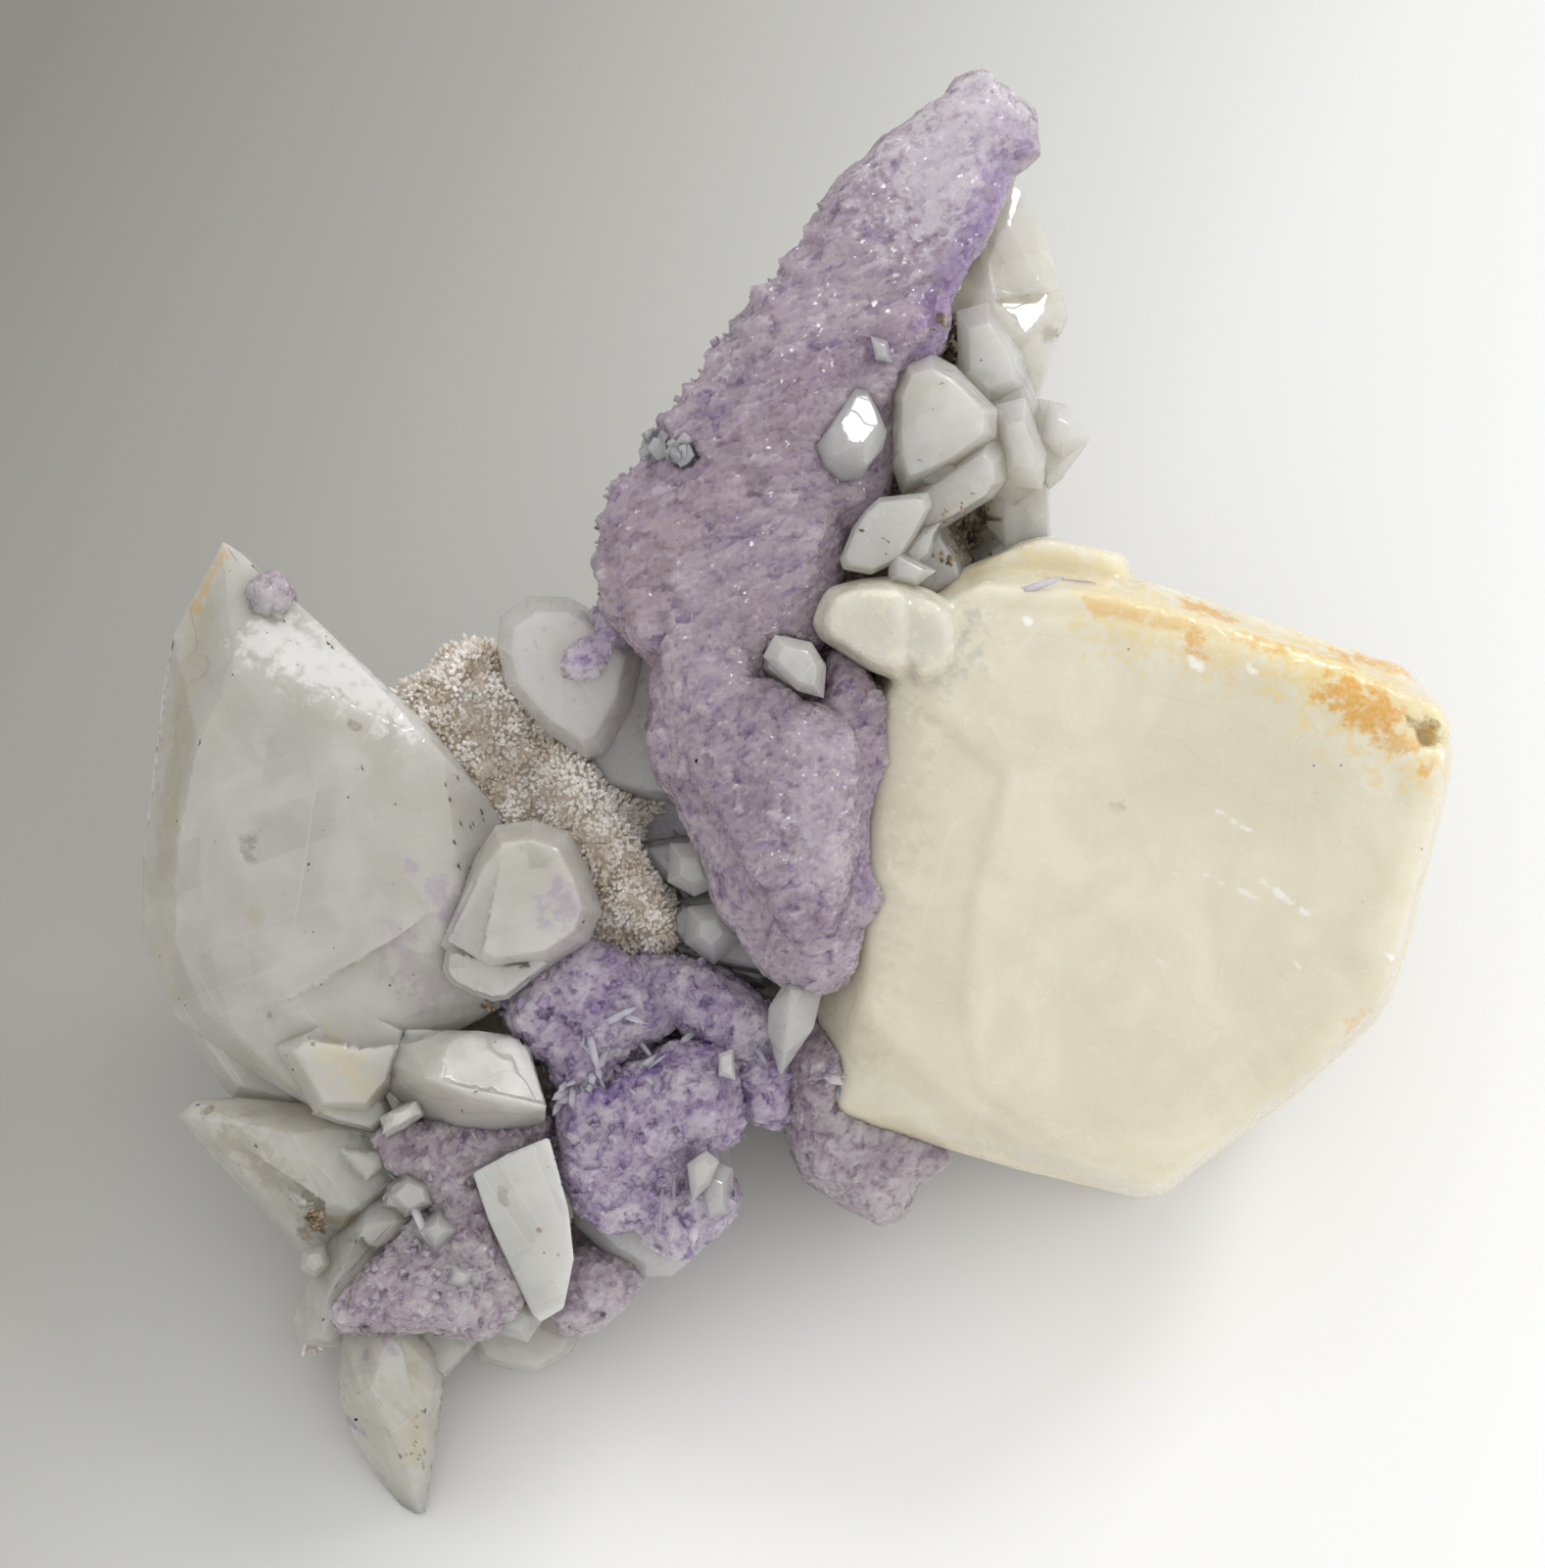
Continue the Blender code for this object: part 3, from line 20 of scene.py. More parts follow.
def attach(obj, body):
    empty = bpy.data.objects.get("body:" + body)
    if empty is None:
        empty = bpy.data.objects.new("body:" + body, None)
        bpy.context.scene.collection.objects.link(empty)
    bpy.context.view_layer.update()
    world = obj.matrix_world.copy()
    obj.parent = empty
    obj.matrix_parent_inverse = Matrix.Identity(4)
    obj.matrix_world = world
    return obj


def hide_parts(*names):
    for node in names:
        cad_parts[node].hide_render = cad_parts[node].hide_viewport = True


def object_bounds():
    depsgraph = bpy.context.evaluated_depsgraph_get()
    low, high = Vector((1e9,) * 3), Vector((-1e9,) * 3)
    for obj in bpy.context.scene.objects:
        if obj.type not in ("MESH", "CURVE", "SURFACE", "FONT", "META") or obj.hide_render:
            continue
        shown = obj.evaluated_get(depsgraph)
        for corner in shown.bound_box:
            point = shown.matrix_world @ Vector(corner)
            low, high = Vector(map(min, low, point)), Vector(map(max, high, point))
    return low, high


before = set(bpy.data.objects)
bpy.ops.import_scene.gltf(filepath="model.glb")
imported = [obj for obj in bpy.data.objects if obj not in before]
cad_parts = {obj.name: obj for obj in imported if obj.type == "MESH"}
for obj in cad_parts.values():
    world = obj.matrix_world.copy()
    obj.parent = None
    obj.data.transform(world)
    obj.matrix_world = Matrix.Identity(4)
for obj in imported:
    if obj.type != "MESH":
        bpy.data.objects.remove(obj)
cad_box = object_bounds()
print("CAD box in mm:", [[round(c * 1000, 1) for c in corner] for corner in cad_box])

# %% [markdown]
# ## The front view
#
# Places on the specimen are easiest to give as the front view shows them: u to the right and v up,
# in millimetres on a plane through the specimen, and w towards the viewer. The view looks down
# at the specimen, which lies on its back, so that plane leans back.

# %% Places in the front view
MM = 0.001
VIEW_ELEVATION = math.radians(65.0)
VIEW_DISTANCE = 420.0
PLANE_HEIGHT = 32.0
CENTRE_X = 1.8
CENTRE_Y = 0.92
SIN = math.sin(VIEW_ELEVATION)
COS = math.cos(VIEW_ELEVATION)


def seen(u, v, w):
    """The point that the front view shows at u, v, at depth w."""
    spread = (VIEW_DISTANCE - w) / VIEW_DISTANCE
    y = v * spread * SIN - w * COS
    z = v * spread * COS + w * SIN
    return Vector((u * spread - CENTRE_X, y - CENTRE_Y, z + PLANE_HEIGHT)) * MM


def view_of(point):
    """The u, v and w of a point."""
    x, y, z = point.x / MM + CENTRE_X, point.y / MM + CENTRE_Y, point.z / MM - PLANE_HEIGHT
    w = z * SIN - y * COS
    spread = (VIEW_DISTANCE - w) / VIEW_DISTANCE
    return x / spread, (y * SIN + z * COS) / spread, w


# %% The camera
IMAGE_SPAN = 128.0
SENSOR = 36.0
camera = bpy.data.objects.new("Camera", bpy.data.cameras.new("Camera"))
bpy.context.scene.collection.objects.link(camera)
bpy.context.scene.camera = camera
camera.location = seen(0.0, 0.0, VIEW_DISTANCE)
camera.rotation_euler = (math.pi / 2 - VIEW_ELEVATION, 0.0, 0.0)
camera.data.sensor_width = SENSOR
camera.data.lens = SENSOR * VIEW_DISTANCE / IMAGE_SPAN
camera.data.clip_start = 0.01
print("camera at", [round(c, 3) for c in camera.location])

# %% What the camera meets first
solids = bmesh.new()
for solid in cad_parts.values():
    solids.from_mesh(solid.data)
front_tree = BVHTree.FromBMesh(solids)
solids.free()


def touch(u, v):
    """The point of the specimen that the front view shows at u, v."""
    start = camera.location
    aim = (seen(u, v, 0.0) - start).normalized()
    place = front_tree.ray_cast(start, aim)[0]
    return place if place else seen(u, v, 0.0)


print("a point on the right crystal:", [round(c * 1000, 1) for c in touch(30.0, -8.0)])

# %% [markdown]
# ## Helpers for shader nodes
#
# A material is a small network of nodes. Writing it by hand takes a line for each node and each
# link, so one helper makes a node, sets it and links what flows into it.


# %% Helpers for shader nodes
def node(tree, kind, inputs=None, **settings):
    """A shader node with its settings and inputs; an input that is a socket gets linked."""
    made = tree.nodes.new("ShaderNode" + kind)
    for key, value in settings.items():
        setattr(made, key, value)
    for key, value in (inputs or {}).items():
        if isinstance(value, bpy.types.NodeSocket):
            tree.links.new(value, made.inputs[key])
        else:
            made.inputs[key].default_value = value
    return made


def calc(tree, operation, first, second=0.0, clamp=False):
    """The result of a Math node."""
    return node(tree, "Math", {0: first, 1: second}, operation=operation, use_clamp=clamp).outputs[0]


def remap(tree, value, low, high, new_low=0.0, new_high=1.0):
    """A value moved smoothly from one range to another."""
    spread = {"Value": value, "From Min": low, "From Max": high, "To Min": new_low, "To Max": new_high}
    return node(tree, "MapRange", spread, interpolation_type="SMOOTHSTEP").outputs["Result"]


def blend(tree, factor, first, second):
    """Two colours mixed by a factor."""
    colours = [(*c, 1.0) if isinstance(c, tuple) and len(c) == 3 else c for c in (first, second)]
    made = node(tree, "Mix", {0: factor, 6: colours[0], 7: colours[1]}, data_type="RGBA")
    return made.outputs[2]


def fractal(tree, vector, size, detail=4.0, roughness=0.55, distortion=0.0):
    """A noise whose lumps are about a size in millimetres across."""
    inputs = {"Vector": vector, "Scale": 1.0 / (size * MM), "Detail": detail, "Roughness": roughness,
              "Distortion": distortion}
    return node(tree, "TexNoise", inputs).outputs["Fac"]


def new_group(name, inputs, outputs):
    """An empty shader node group with named sockets, and the group's own two end nodes."""
    tree = bpy.data.node_groups.new(name, "ShaderNodeTree")
    for label, kind, value in inputs:
        socket = tree.interface.new_socket(label, in_out="INPUT", socket_type="NodeSocket" + kind)
        if value is not None:
            socket.default_value = value
    for label, kind in outputs:
        tree.interface.new_socket(label, in_out="OUTPUT", socket_type="NodeSocket" + kind)
    return tree, tree.nodes.new("NodeGroupInput").outputs, tree.nodes.new("NodeGroupOutput").inputs


def use_group(tree, group, inputs):
    """A group placed in a material with its own values."""
    made = tree.nodes.new("ShaderNodeGroup")
    made.node_tree = group
    for key, value in inputs.items():
        if isinstance(value, bpy.types.NodeSocket):
            tree.links.new(value, made.inputs[key])
        else:
            made.inputs[key].default_value = value
    return made.outputs


# %% [markdown]
# ## Effects that several finishes share
#
# Stains, and the painted highlights, painted shade and painted pool of light that some finishes
# carry, sit at known places, so each such patch is measured as the distance to a short line between
# two points. Veils are the cloudy layers inside a crystal, growth lines the fine ridges on its faces,
# and specks the tiny dark or coloured grains that a noise scatters.

# %% A patch along a line between two points, for stains and for painted highlights, shade and light
patch_group, inlet, outlet = new_group(
    "Line patch",
    [("Vector", "Vector", None), ("From", "Vector", None), ("To", "Vector", None), ("Radius", "Float", 0.001),
     ("Ragged", "Float", 0.0), ("Softness", "Float", 0.7), ("Strength", "Float", 1.0)],
    [("Mask", "Float")])
along = node(patch_group, "VectorMath", {0: inlet["To"], 1: inlet["From"]}, operation="SUBTRACT").outputs[0]
reach = node(patch_group, "VectorMath", {0: inlet["Vector"], 1: inlet["From"]}, operation="SUBTRACT").outputs[0]
dot = node(patch_group, "VectorMath", {0: along, 1: reach}, operation="DOT_PRODUCT").outputs["Value"]
square = node(patch_group, "VectorMath", {0: along, 1: along}, operation="DOT_PRODUCT").outputs["Value"]
share = calc(patch_group, "DIVIDE", dot, calc(patch_group, "MAXIMUM", square, 1e-12), clamp=True)
step = node(patch_group, "VectorMath", {0: along, "Scale": share}, operation="SCALE").outputs[0]
offset = node(patch_group, "VectorMath", {0: reach, 1: step}, operation="SUBTRACT").outputs[0]
distance = node(patch_group, "VectorMath", {0: offset}, operation="LENGTH").outputs["Value"]
ragged = calc(patch_group, "MULTIPLY", inlet["Ragged"], inlet["Radius"])
distance = calc(patch_group, "ADD", distance, ragged)
inner = calc(patch_group, "MULTIPLY", inlet["Radius"], calc(patch_group, "SUBTRACT", 1.0, inlet["Softness"]))
mask = remap(patch_group, distance, inner, inlet["Radius"], 1.0, 0.0)
patch_group.links.new(calc(patch_group, "MULTIPLY", mask, inlet["Strength"]), outlet["Mask"])

# %% Cloudy veils inside a crystal
veil_group, inlet, outlet = new_group(
    "Veils", [("Vector", "Vector", None), ("Size", "Float", 9.0)], [("Cloud", "Float"), ("Fine", "Float")])
scaled = node(veil_group, "VectorMath", {0: inlet["Vector"], "Scale": calc(veil_group, "DIVIDE", 1.0, inlet["Size"])},
              operation="SCALE").outputs[0]
cloud = fractal(veil_group, scaled, 1.0, 5.0, 0.6, 0.8)
veil_group.links.new(remap(veil_group, cloud, 0.35, 0.68), outlet["Cloud"])
fine = fractal(veil_group, scaled, 0.12, 3.0, 0.6)
veil_group.links.new(remap(veil_group, fine, 0.3, 0.7), outlet["Fine"])

# %% Fine parallel growth lines
line_group, inlet, outlet = new_group(
    "Growth lines", [("Vector", "Vector", None), ("Spacing", "Float", 0.8)], [("Height", "Float")])
scaled = node(line_group, "VectorMath", {0: inlet["Vector"], "Scale": calc(line_group, "DIVIDE", 1.0, inlet["Spacing"])},
              operation="SCALE").outputs[0]
wave = node(line_group, "TexWave", {"Vector": scaled, "Scale": 160.0, "Distortion": 5.0, "Detail": 3.0,
                                    "Detail Scale": 0.6, "Detail Roughness": 0.6},
            wave_type="BANDS", bands_direction="X", wave_profile="SAW").outputs["Fac"]
broad = fractal(line_group, scaled, 6.0, 3.0)
line_group.links.new(calc(line_group, "MULTIPLY", wave, broad), outlet["Height"])

# %% Terraces: growth plates that end in low winding steps
terrace_group, inlet, outlet = new_group(
    "Terraces", [("Vector", "Vector", None), ("Size", "Float", 8.0), ("Plates", "Float", 7.0)], [("Height", "Float")])
scaled = node(terrace_group, "VectorMath",
              {0: inlet["Vector"], "Scale": calc(terrace_group, "DIVIDE", 1.0, inlet["Size"])},
              operation="SCALE").outputs[0]
level = calc(terrace_group, "MULTIPLY", fractal(terrace_group, scaled, 1.0, 3.0, 0.45, 0.4), inlet["Plates"])
part = calc(terrace_group, "FRACT", level)
edge = remap(terrace_group, part, 0.0, 0.12)
terrace_group.links.new(calc(terrace_group, "ADD", calc(terrace_group, "FLOOR", level), edge), outlet["Height"])

# %% Scattered specks
speck_group, inlet, outlet = new_group(
    "Specks", [("Vector", "Vector", None), ("Size", "Float", 2.0), ("Share", "Float", 0.2), ("Radius", "Float", 0.12)],
    [("Mask", "Float")])
scaled = node(speck_group, "VectorMath", {0: inlet["Vector"], "Scale": calc(speck_group, "DIVIDE", 1.0, inlet["Size"])},
              operation="SCALE").outputs[0]
cells = node(speck_group, "TexVoronoi", {"Vector": scaled, "Scale": 1.0 / MM})
picked = node(speck_group, "TexWhiteNoise", {0: cells.outputs["Position"]}, noise_dimensions="3D").outputs["Value"]
chosen = calc(speck_group, "LESS_THAN", picked, inlet["Share"])
close = remap(speck_group, cells.outputs["Distance"], calc(speck_group, "MULTIPLY", inlet["Radius"], 0.5),
              inlet["Radius"], 1.0, 0.0)
speck_group.links.new(calc(speck_group, "MULTIPLY", chosen, close), outlet["Mask"])

# %% Cleavage: flat layers in three directions, some of them clearer than others
cleavage_group, inlet, outlet = new_group(
    "Cleavage", [("Vector", "Vector", None), ("Size", "Float", 3.0)], [("Shade", "Float"), ("Line", "Float")])
scaled = node(cleavage_group, "VectorMath",
              {0: inlet["Vector"], "Scale": calc(cleavage_group, "DIVIDE", 1.0 / MM, inlet["Size"])},
              operation="SCALE").outputs[0]
shades, lines = [], []
for direction in [(0.80, 0.30, 0.52), (-0.35, 0.85, 0.39), (0.12, -0.50, 0.86)]:
    place = node(cleavage_group, "VectorMath", {0: scaled, 1: direction}, operation="DOT_PRODUCT").outputs["Value"]
    place = calc(cleavage_group, "ADD", place, calc(cleavage_group, "SINE", calc(cleavage_group, "MULTIPLY", place, 2.3)))
    layer = node(cleavage_group, "TexWhiteNoise", {"W": calc(cleavage_group, "FLOOR", place)},
                 noise_dimensions="1D").outputs["Value"]
    shades.append(layer)
    rim = remap(cleavage_group, calc(cleavage_group, "FRACT", place), 0.0, 0.035, 1.0, 0.0)
    lines.append(calc(cleavage_group, "MULTIPLY", rim, calc(cleavage_group, "GREATER_THAN", layer, 0.6)))
total = calc(cleavage_group, "ADD", calc(cleavage_group, "ADD", shades[0], shades[1]), shades[2])
cleavage_group.links.new(remap(cleavage_group, total, 0.9, 2.1), outlet["Shade"])
most = calc(cleavage_group, "MAXIMUM", calc(cleavage_group, "MAXIMUM", lines[0], lines[1]), lines[2])
cleavage_group.links.new(most, outlet["Line"])

# %% Glitter: tiny facets that each lean their own way
glitter_group, inlet, outlet = new_group(
    "Glitter", [("Vector", "Vector", None), ("Normal", "Vector", None), ("Size", "Float", 0.5), ("Lean", "Float", 0.6),
                ("Share", "Float", 0.5)], [("Normal", "Vector"), ("Pick", "Float")])
scaled = node(glitter_group, "VectorMath",
              {0: inlet["Vector"], "Scale": calc(glitter_group, "DIVIDE", 1.0 / MM, inlet["Size"])},
              operation="SCALE").outputs[0]
cells = node(glitter_group, "TexVoronoi", {"Vector": scaled, "Scale": 1.0})
centred = node(glitter_group, "VectorMath", {0: cells.outputs["Color"], 1: (0.5, 0.5, 0.5)},
               operation="SUBTRACT").outputs[0]
picked = node(glitter_group, "TexWhiteNoise", {0: cells.outputs["Position"]}, noise_dimensions="3D").outputs["Value"]
amount = calc(glitter_group, "MULTIPLY", calc(glitter_group, "LESS_THAN", picked, inlet["Share"]), inlet["Lean"])
sway = node(glitter_group, "VectorMath", {0: centred, "Scale": amount}, operation="SCALE").outputs[0]
summed = node(glitter_group, "VectorMath", {0: inlet["Normal"], 1: sway}, operation="ADD").outputs[0]
glitter_group.links.new(node(glitter_group, "VectorMath", {0: summed}, operation="NORMALIZE").outputs[0],
                        outlet["Normal"])
glitter_group.links.new(picked, outlet["Pick"])
print("shared effects:", [g.name for g in (patch_group, veil_group, line_group, terrace_group, speck_group,
                                          glitter_group)])

# %% [markdown]
# ## Finishes
#
# Calcite here is milky: light enters it, scatters and comes out softly, which subsurface
# scattering gives, with some plain transmission for the clearer crystals. Fluorite takes the
# same treatment in violet, with a rougher surface.


# %% Stains, painted highlights and painted shade from the front view
def patched(tree, vector, colour, patches):
    """Lays patches over a colour: stains, and in places painted highlights and painted shade. Each is u0, v0, u1, v1,
    radius in mm, colour and strength.
    """
    ragged = remap(tree, fractal(tree, vector, 1.1, 5.0, 0.6), 0.25, 0.75, -0.6, 0.6)
    mottle = remap(tree, fractal(tree, vector, 0.45, 4.0, 0.65), 0.38, 0.60, 0.6, 1.0)
    for u0, v0, u1, v1, radius, tint, strength in patches:
        mask = use_group(tree, patch_group, {
            "Vector": vector, "From": touch(u0, v0), "To": touch(u1, v1), "Radius": radius * MM,
            "Ragged": ragged, "Strength": strength})["Mask"]
        if 0.4 < radius < 2.5:
            mask = calc(tree, "MULTIPLY", mask, mottle)
        colour = blend(tree, mask, colour, tint)
    return colour


def new_material(name):
    """A material with an empty Principled shader, and its Object coordinates."""
    made = bpy.data.materials.new(name)
    made.use_nodes = True
    tree = made.node_tree
    shader = tree.nodes["Principled BSDF"]
    vector = node(tree, "TexCoord").outputs["Object"]
    return made, tree, shader, vector


# %% Calcite
def calcite(name, pale, deep, patches=(), clear=0.0, lines=(0.0, 0.0, 0.0), line_depth=0.05, rough=0.24,
            scatter=0.006, purple=0.0, plates=0.06, veil=9.0, cleave=0.6, layer=2.6):
    """A milky crystal finish: veils, growth lines turned by some angles, plates, stains with some painted highlights
    and painted shade, and fine dust.
    """
    made, tree, shader, vector = new_material(name)
    veils = use_group(tree, veil_group, {"Vector": vector, "Size": veil})
    colour = blend(tree, veils["Cloud"], deep, pale)
    layers = use_group(tree, cleavage_group, {"Vector": vector, "Size": layer})
    patch = remap(tree, fractal(tree, vector, layer * 2.0, 3.0), 0.42, 0.58)
    clearer = calc(tree, "MULTIPLY", calc(tree, "MULTIPLY", layers["Shade"], patch), cleave)
    colour = blend(tree, clearer, colour, tuple(0.8 * part for part in deep))
    cracks = calc(tree, "MULTIPLY", calc(tree, "MULTIPLY", layers["Line"], patch), cleave * 0.8)
    colour = blend(tree, cracks, colour, (0.95, 0.94, 0.92))
    if purple:
        haze = use_group(tree, speck_group, {"Vector": vector, "Size": 0.8, "Share": purple, "Radius": 0.3})
        colour = blend(tree, calc(tree, "MULTIPLY", haze["Mask"], 0.3), colour, (0.45, 0.36, 0.52))
    colour = patched(tree, vector, colour, patches)
    dust = use_group(tree, speck_group, {"Vector": vector, "Size": 2.2, "Share": 0.14, "Radius": 0.06})
    colour = blend(tree, calc(tree, "MULTIPLY", dust["Mask"], 0.75), colour, (0.12, 0.10, 0.08))
    tree.links.new(colour, shader.inputs["Base Color"])
    patchy = remap(tree, fractal(tree, vector, 3.0), 0.35, 0.7, rough * 0.6, rough * 1.4)
    tree.links.new(patchy, shader.inputs["Roughness"])
    turned = node(tree, "Mapping", {"Vector": vector, "Rotation": lines}).outputs[0]
    height = use_group(tree, line_group, {"Vector": turned, "Spacing": 0.9})["Height"]
    grain = fractal(tree, vector, 0.5, 3.0)
    height = calc(tree, "ADD", height, calc(tree, "MULTIPLY", grain, 0.08))
    steps = use_group(tree, terrace_group, {"Vector": vector, "Size": 8.0, "Plates": 7.0})["Height"]
    height = calc(tree, "ADD", height, calc(tree, "MULTIPLY", steps, plates / line_depth))
    bump = node(tree, "Bump", {"Height": height, "Strength": 0.6, "Distance": line_depth * MM})
    tree.links.new(bump.outputs[0], shader.inputs["Normal"])
    shader.inputs["Subsurface Weight"].default_value = 0.95
    shader.inputs["Subsurface Radius"].default_value = (1.0, 0.95, 0.85)
    shader.inputs["Subsurface Scale"].default_value = scatter
    shader.inputs["IOR"].default_value = 1.58
    shader.inputs["Transmission Weight"].default_value = clear
    return made


# %% Fluorite
def fluorite(name, pale, purple, deep, patches=(), clear=0.3, rough=0.18, scatter=0.004, lean=22.0, stretch=1.0):
    """An etched fluorite finish: paler on its ridges, partly as frosting and partly as a painted highlight; violet in
    its pits and in fine leaning streaks.
    """
    made, tree, shader, vector = new_material(name)
    turned = node(tree, "Mapping", {"Vector": vector, "Rotation": (VIEW_ELEVATION - math.pi / 2, 0.0,
                                                                   -math.radians(lean))}).outputs[0]
    streaky = node(tree, "Mapping", {"Vector": turned, "Scale": (1.0 / stretch, 1.0, 1.0)}).outputs[0]
    rise = node(tree, "Attribute", attribute_name="rise").outputs["Fac"]
    zones = remap(tree, fractal(tree, streaky, 7.0, 5.0, 0.62, 0.6), 0.36, 0.64)
    colour = blend(tree, zones, purple, pale)
    colour = blend(tree, remap(tree, rise, 0.42, 0.0, 0.0, 0.45), colour, deep)
    # The highest ridges turn paler: partly frosting on the etched ridges, partly a painted highlight where glints fall.
    colour = blend(tree, remap(tree, rise, 0.62, 1.0, 0.0, 0.4), colour, (0.84, 0.80, 0.84))
    fine = remap(tree, fractal(tree, streaky, 0.9, 6.0, 0.7), 0.54, 0.70, 0.0, 0.6)
    colour = blend(tree, fine, colour, deep)
    light = remap(tree, fractal(tree, streaky, 1.3, 5.0, 0.7, 0.3), 0.56, 0.74, 0.0, 0.5)
    colour = blend(tree, light, colour, (0.82, 0.79, 0.83))
    colour = patched(tree, vector, colour, patches)
    dust = use_group(tree, speck_group, {"Vector": vector, "Size": 1.5, "Share": 0.16, "Radius": 0.075})
    colour = blend(tree, calc(tree, "MULTIPLY", dust["Mask"], 0.7), colour, (0.14, 0.09, 0.13))
    tree.links.new(colour, shader.inputs["Base Color"])
    patchy = remap(tree, fractal(tree, vector, 0.8), 0.35, 0.65, rough * 0.4, rough * 1.5)
    tree.links.new(patchy, shader.inputs["Roughness"])
    pits = node(tree, "TexVoronoi", {"Vector": vector, "Scale": 2.2 / MM}).outputs["Distance"]
    height = calc(tree, "ADD", calc(tree, "MULTIPLY", pits, 0.5), fractal(tree, streaky, 0.35, 2.0))
    bump = node(tree, "Bump", {"Height": height, "Strength": 0.4, "Distance": 0.08 * MM})
    broad = use_group(tree, glitter_group, {"Vector": vector, "Normal": bump.outputs[0], "Size": 0.9, "Lean": 0.75,
                                            "Share": 0.5})["Normal"]
    sharp = use_group(tree, glitter_group, {"Vector": vector, "Normal": broad, "Size": 0.34, "Lean": 1.4,
                                            "Share": 0.6})["Normal"]
    tree.links.new(sharp, shader.inputs["Normal"])
    shader.inputs["Subsurface Weight"].default_value = 0.9
    shader.inputs["Subsurface Radius"].default_value = (1.0, 0.9, 1.0)
    shader.inputs["Subsurface Scale"].default_value = scatter
    shader.inputs["IOR"].default_value = 1.5
    shader.inputs["Transmission Weight"].default_value = clear
    return made


# %% [markdown]
# ## From solids to crystals
#
# A calcite solid keeps its flat faces: its edges are halved until the mesh is fine, the corners
# are smoothed a little, and a low swell is added. A fluorite solid is melted into an even mesh
# of small faces, and its surface is then cut into tiny tilted facets, as etching does.


# %% Copies of the solids
def solid_copy(*names):
    """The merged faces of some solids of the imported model."""
    bm = bmesh.new()
    for name in names:
        bm.from_mesh(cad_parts[name].data)
    bmesh.ops.remove_doubles(bm, verts=bm.verts, dist=0.000001)
    return bm


def add_piece(name, mesh, material, stands_for=(), smooth=None):
    """A piece of the specimen that rides on its body and may stand for solids."""
    obj = bpy.data.objects.new(name, mesh)
    bpy.context.scene.collection.objects.link(obj)
    mesh.materials.clear()
    mesh.materials.append(material)
    if smooth is not None:
        mesh.shade_smooth()
        mesh.set_sharp_from_angle(angle=math.radians(smooth))
    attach(obj, "root")
    if stands_for:
        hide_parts(*stands_for)
    print(f"{name}: {len(mesh.polygons)} faces")
    return obj


def mesh_from(bm, name):
    """A mesh made from a bmesh, which is freed."""
    mesh = bpy.data.meshes.new(name)
    bm.to_mesh(mesh)
    bm.free()
    return mesh


def keep_in_box(bm):
    """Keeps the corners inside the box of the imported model."""
    for vert in bm.verts:
        for i in range(3):
            vert.co[i] = min(max(vert.co[i], cad_box[0][i]), cad_box[1][i])


# %% Refined crystals
def refine(bm, longest):
    """Halves the edges longer than a limit, as often as that still leaves fewer of them."""
    bmesh.ops.triangulate(bm, faces=bm.faces)
    halving = 0
    while halving < 7:
        long_edges = [edge for edge in bm.edges if edge.calc_length() > longest * MM]
        if not long_edges:
            break
        bmesh.ops.subdivide_edges(bm, edges=long_edges, cuts=1)
        bmesh.ops.triangulate(bm, faces=[face for face in bm.faces if len(face.verts) > 3])
        halving += 1


def inside(u, v, outline):
    """Whether u, v lies inside an outline."""
    crossings = 0
    for (u0, v0), (u1, v1) in zip(outline, outline[1:] + outline[:1]):
        if (v0 > v) != (v1 > v) and u < u0 + (v - v0) * (u1 - u0) / (v1 - v0):
            crossings += 1
    return crossings % 2 == 1


TO_VIEWER = Vector((0.0, -COS, SIN))
GLEAM = (-0.37, -0.56)


def facet(bm, outline, through, slope=GLEAM, reach=2.0):
    """Cuts a flat facet inside an outline of the front view, down to a plane.

    The plane passes through one point u, v, w; slope is its rise in w to the right and up.
    """
    cu, cv, level = through

    def plane(u, v):
        return level + slope[0] * (u - cu) + slope[1] * (v - cv)

    span = max(math.hypot(u - cu, v - cv) for u, v in outline) + 1.0
    geom = []
    for face in bm.faces:
        u, v, w = view_of(face.calc_center_median())
        if math.hypot(u - cu, v - cv) < span and abs(w - plane(u, v)) < reach + 1.0:
            geom.append(face)
    geom += list({edge for face in geom for edge in face.edges}) + list({vert for face in geom for vert in face.verts})
    cuts = []
    for (u0, v0), (u1, v1) in zip(outline, outline[1:] + outline[:1]):
        start, end = seen(u0, v0, level), seen(u1, v1, level)
        cuts.append((start, (start - camera.location).cross(end - start).normalized()))
    corner = seen(cu, cv, level)
    right, up = seen(cu + 1.0, cv, plane(cu + 1.0, cv)) - corner, seen(cu, cv + 1.0, plane(cu, cv + 1.0)) - corner
    cuts.append((corner, right.cross(up).normalized()))
    for place, normal in cuts:
        geom = bmesh.ops.bisect_plane(bm, geom=geom, dist=0.00001, plane_co=place, plane_no=normal)["geom"]
    moved = 0
    for vert in [part for part in geom if isinstance(part, bmesh.types.BMVert)]:
        u, v, w = view_of(vert.co)
        if plane(u, v) < w < plane(u, v) + reach and inside(cu + (u - cu) * 0.999, cv + (v - cv) * 0.999, outline):
            vert.co = seen(u, v, plane(u, v))
            moved += 1
    return moved


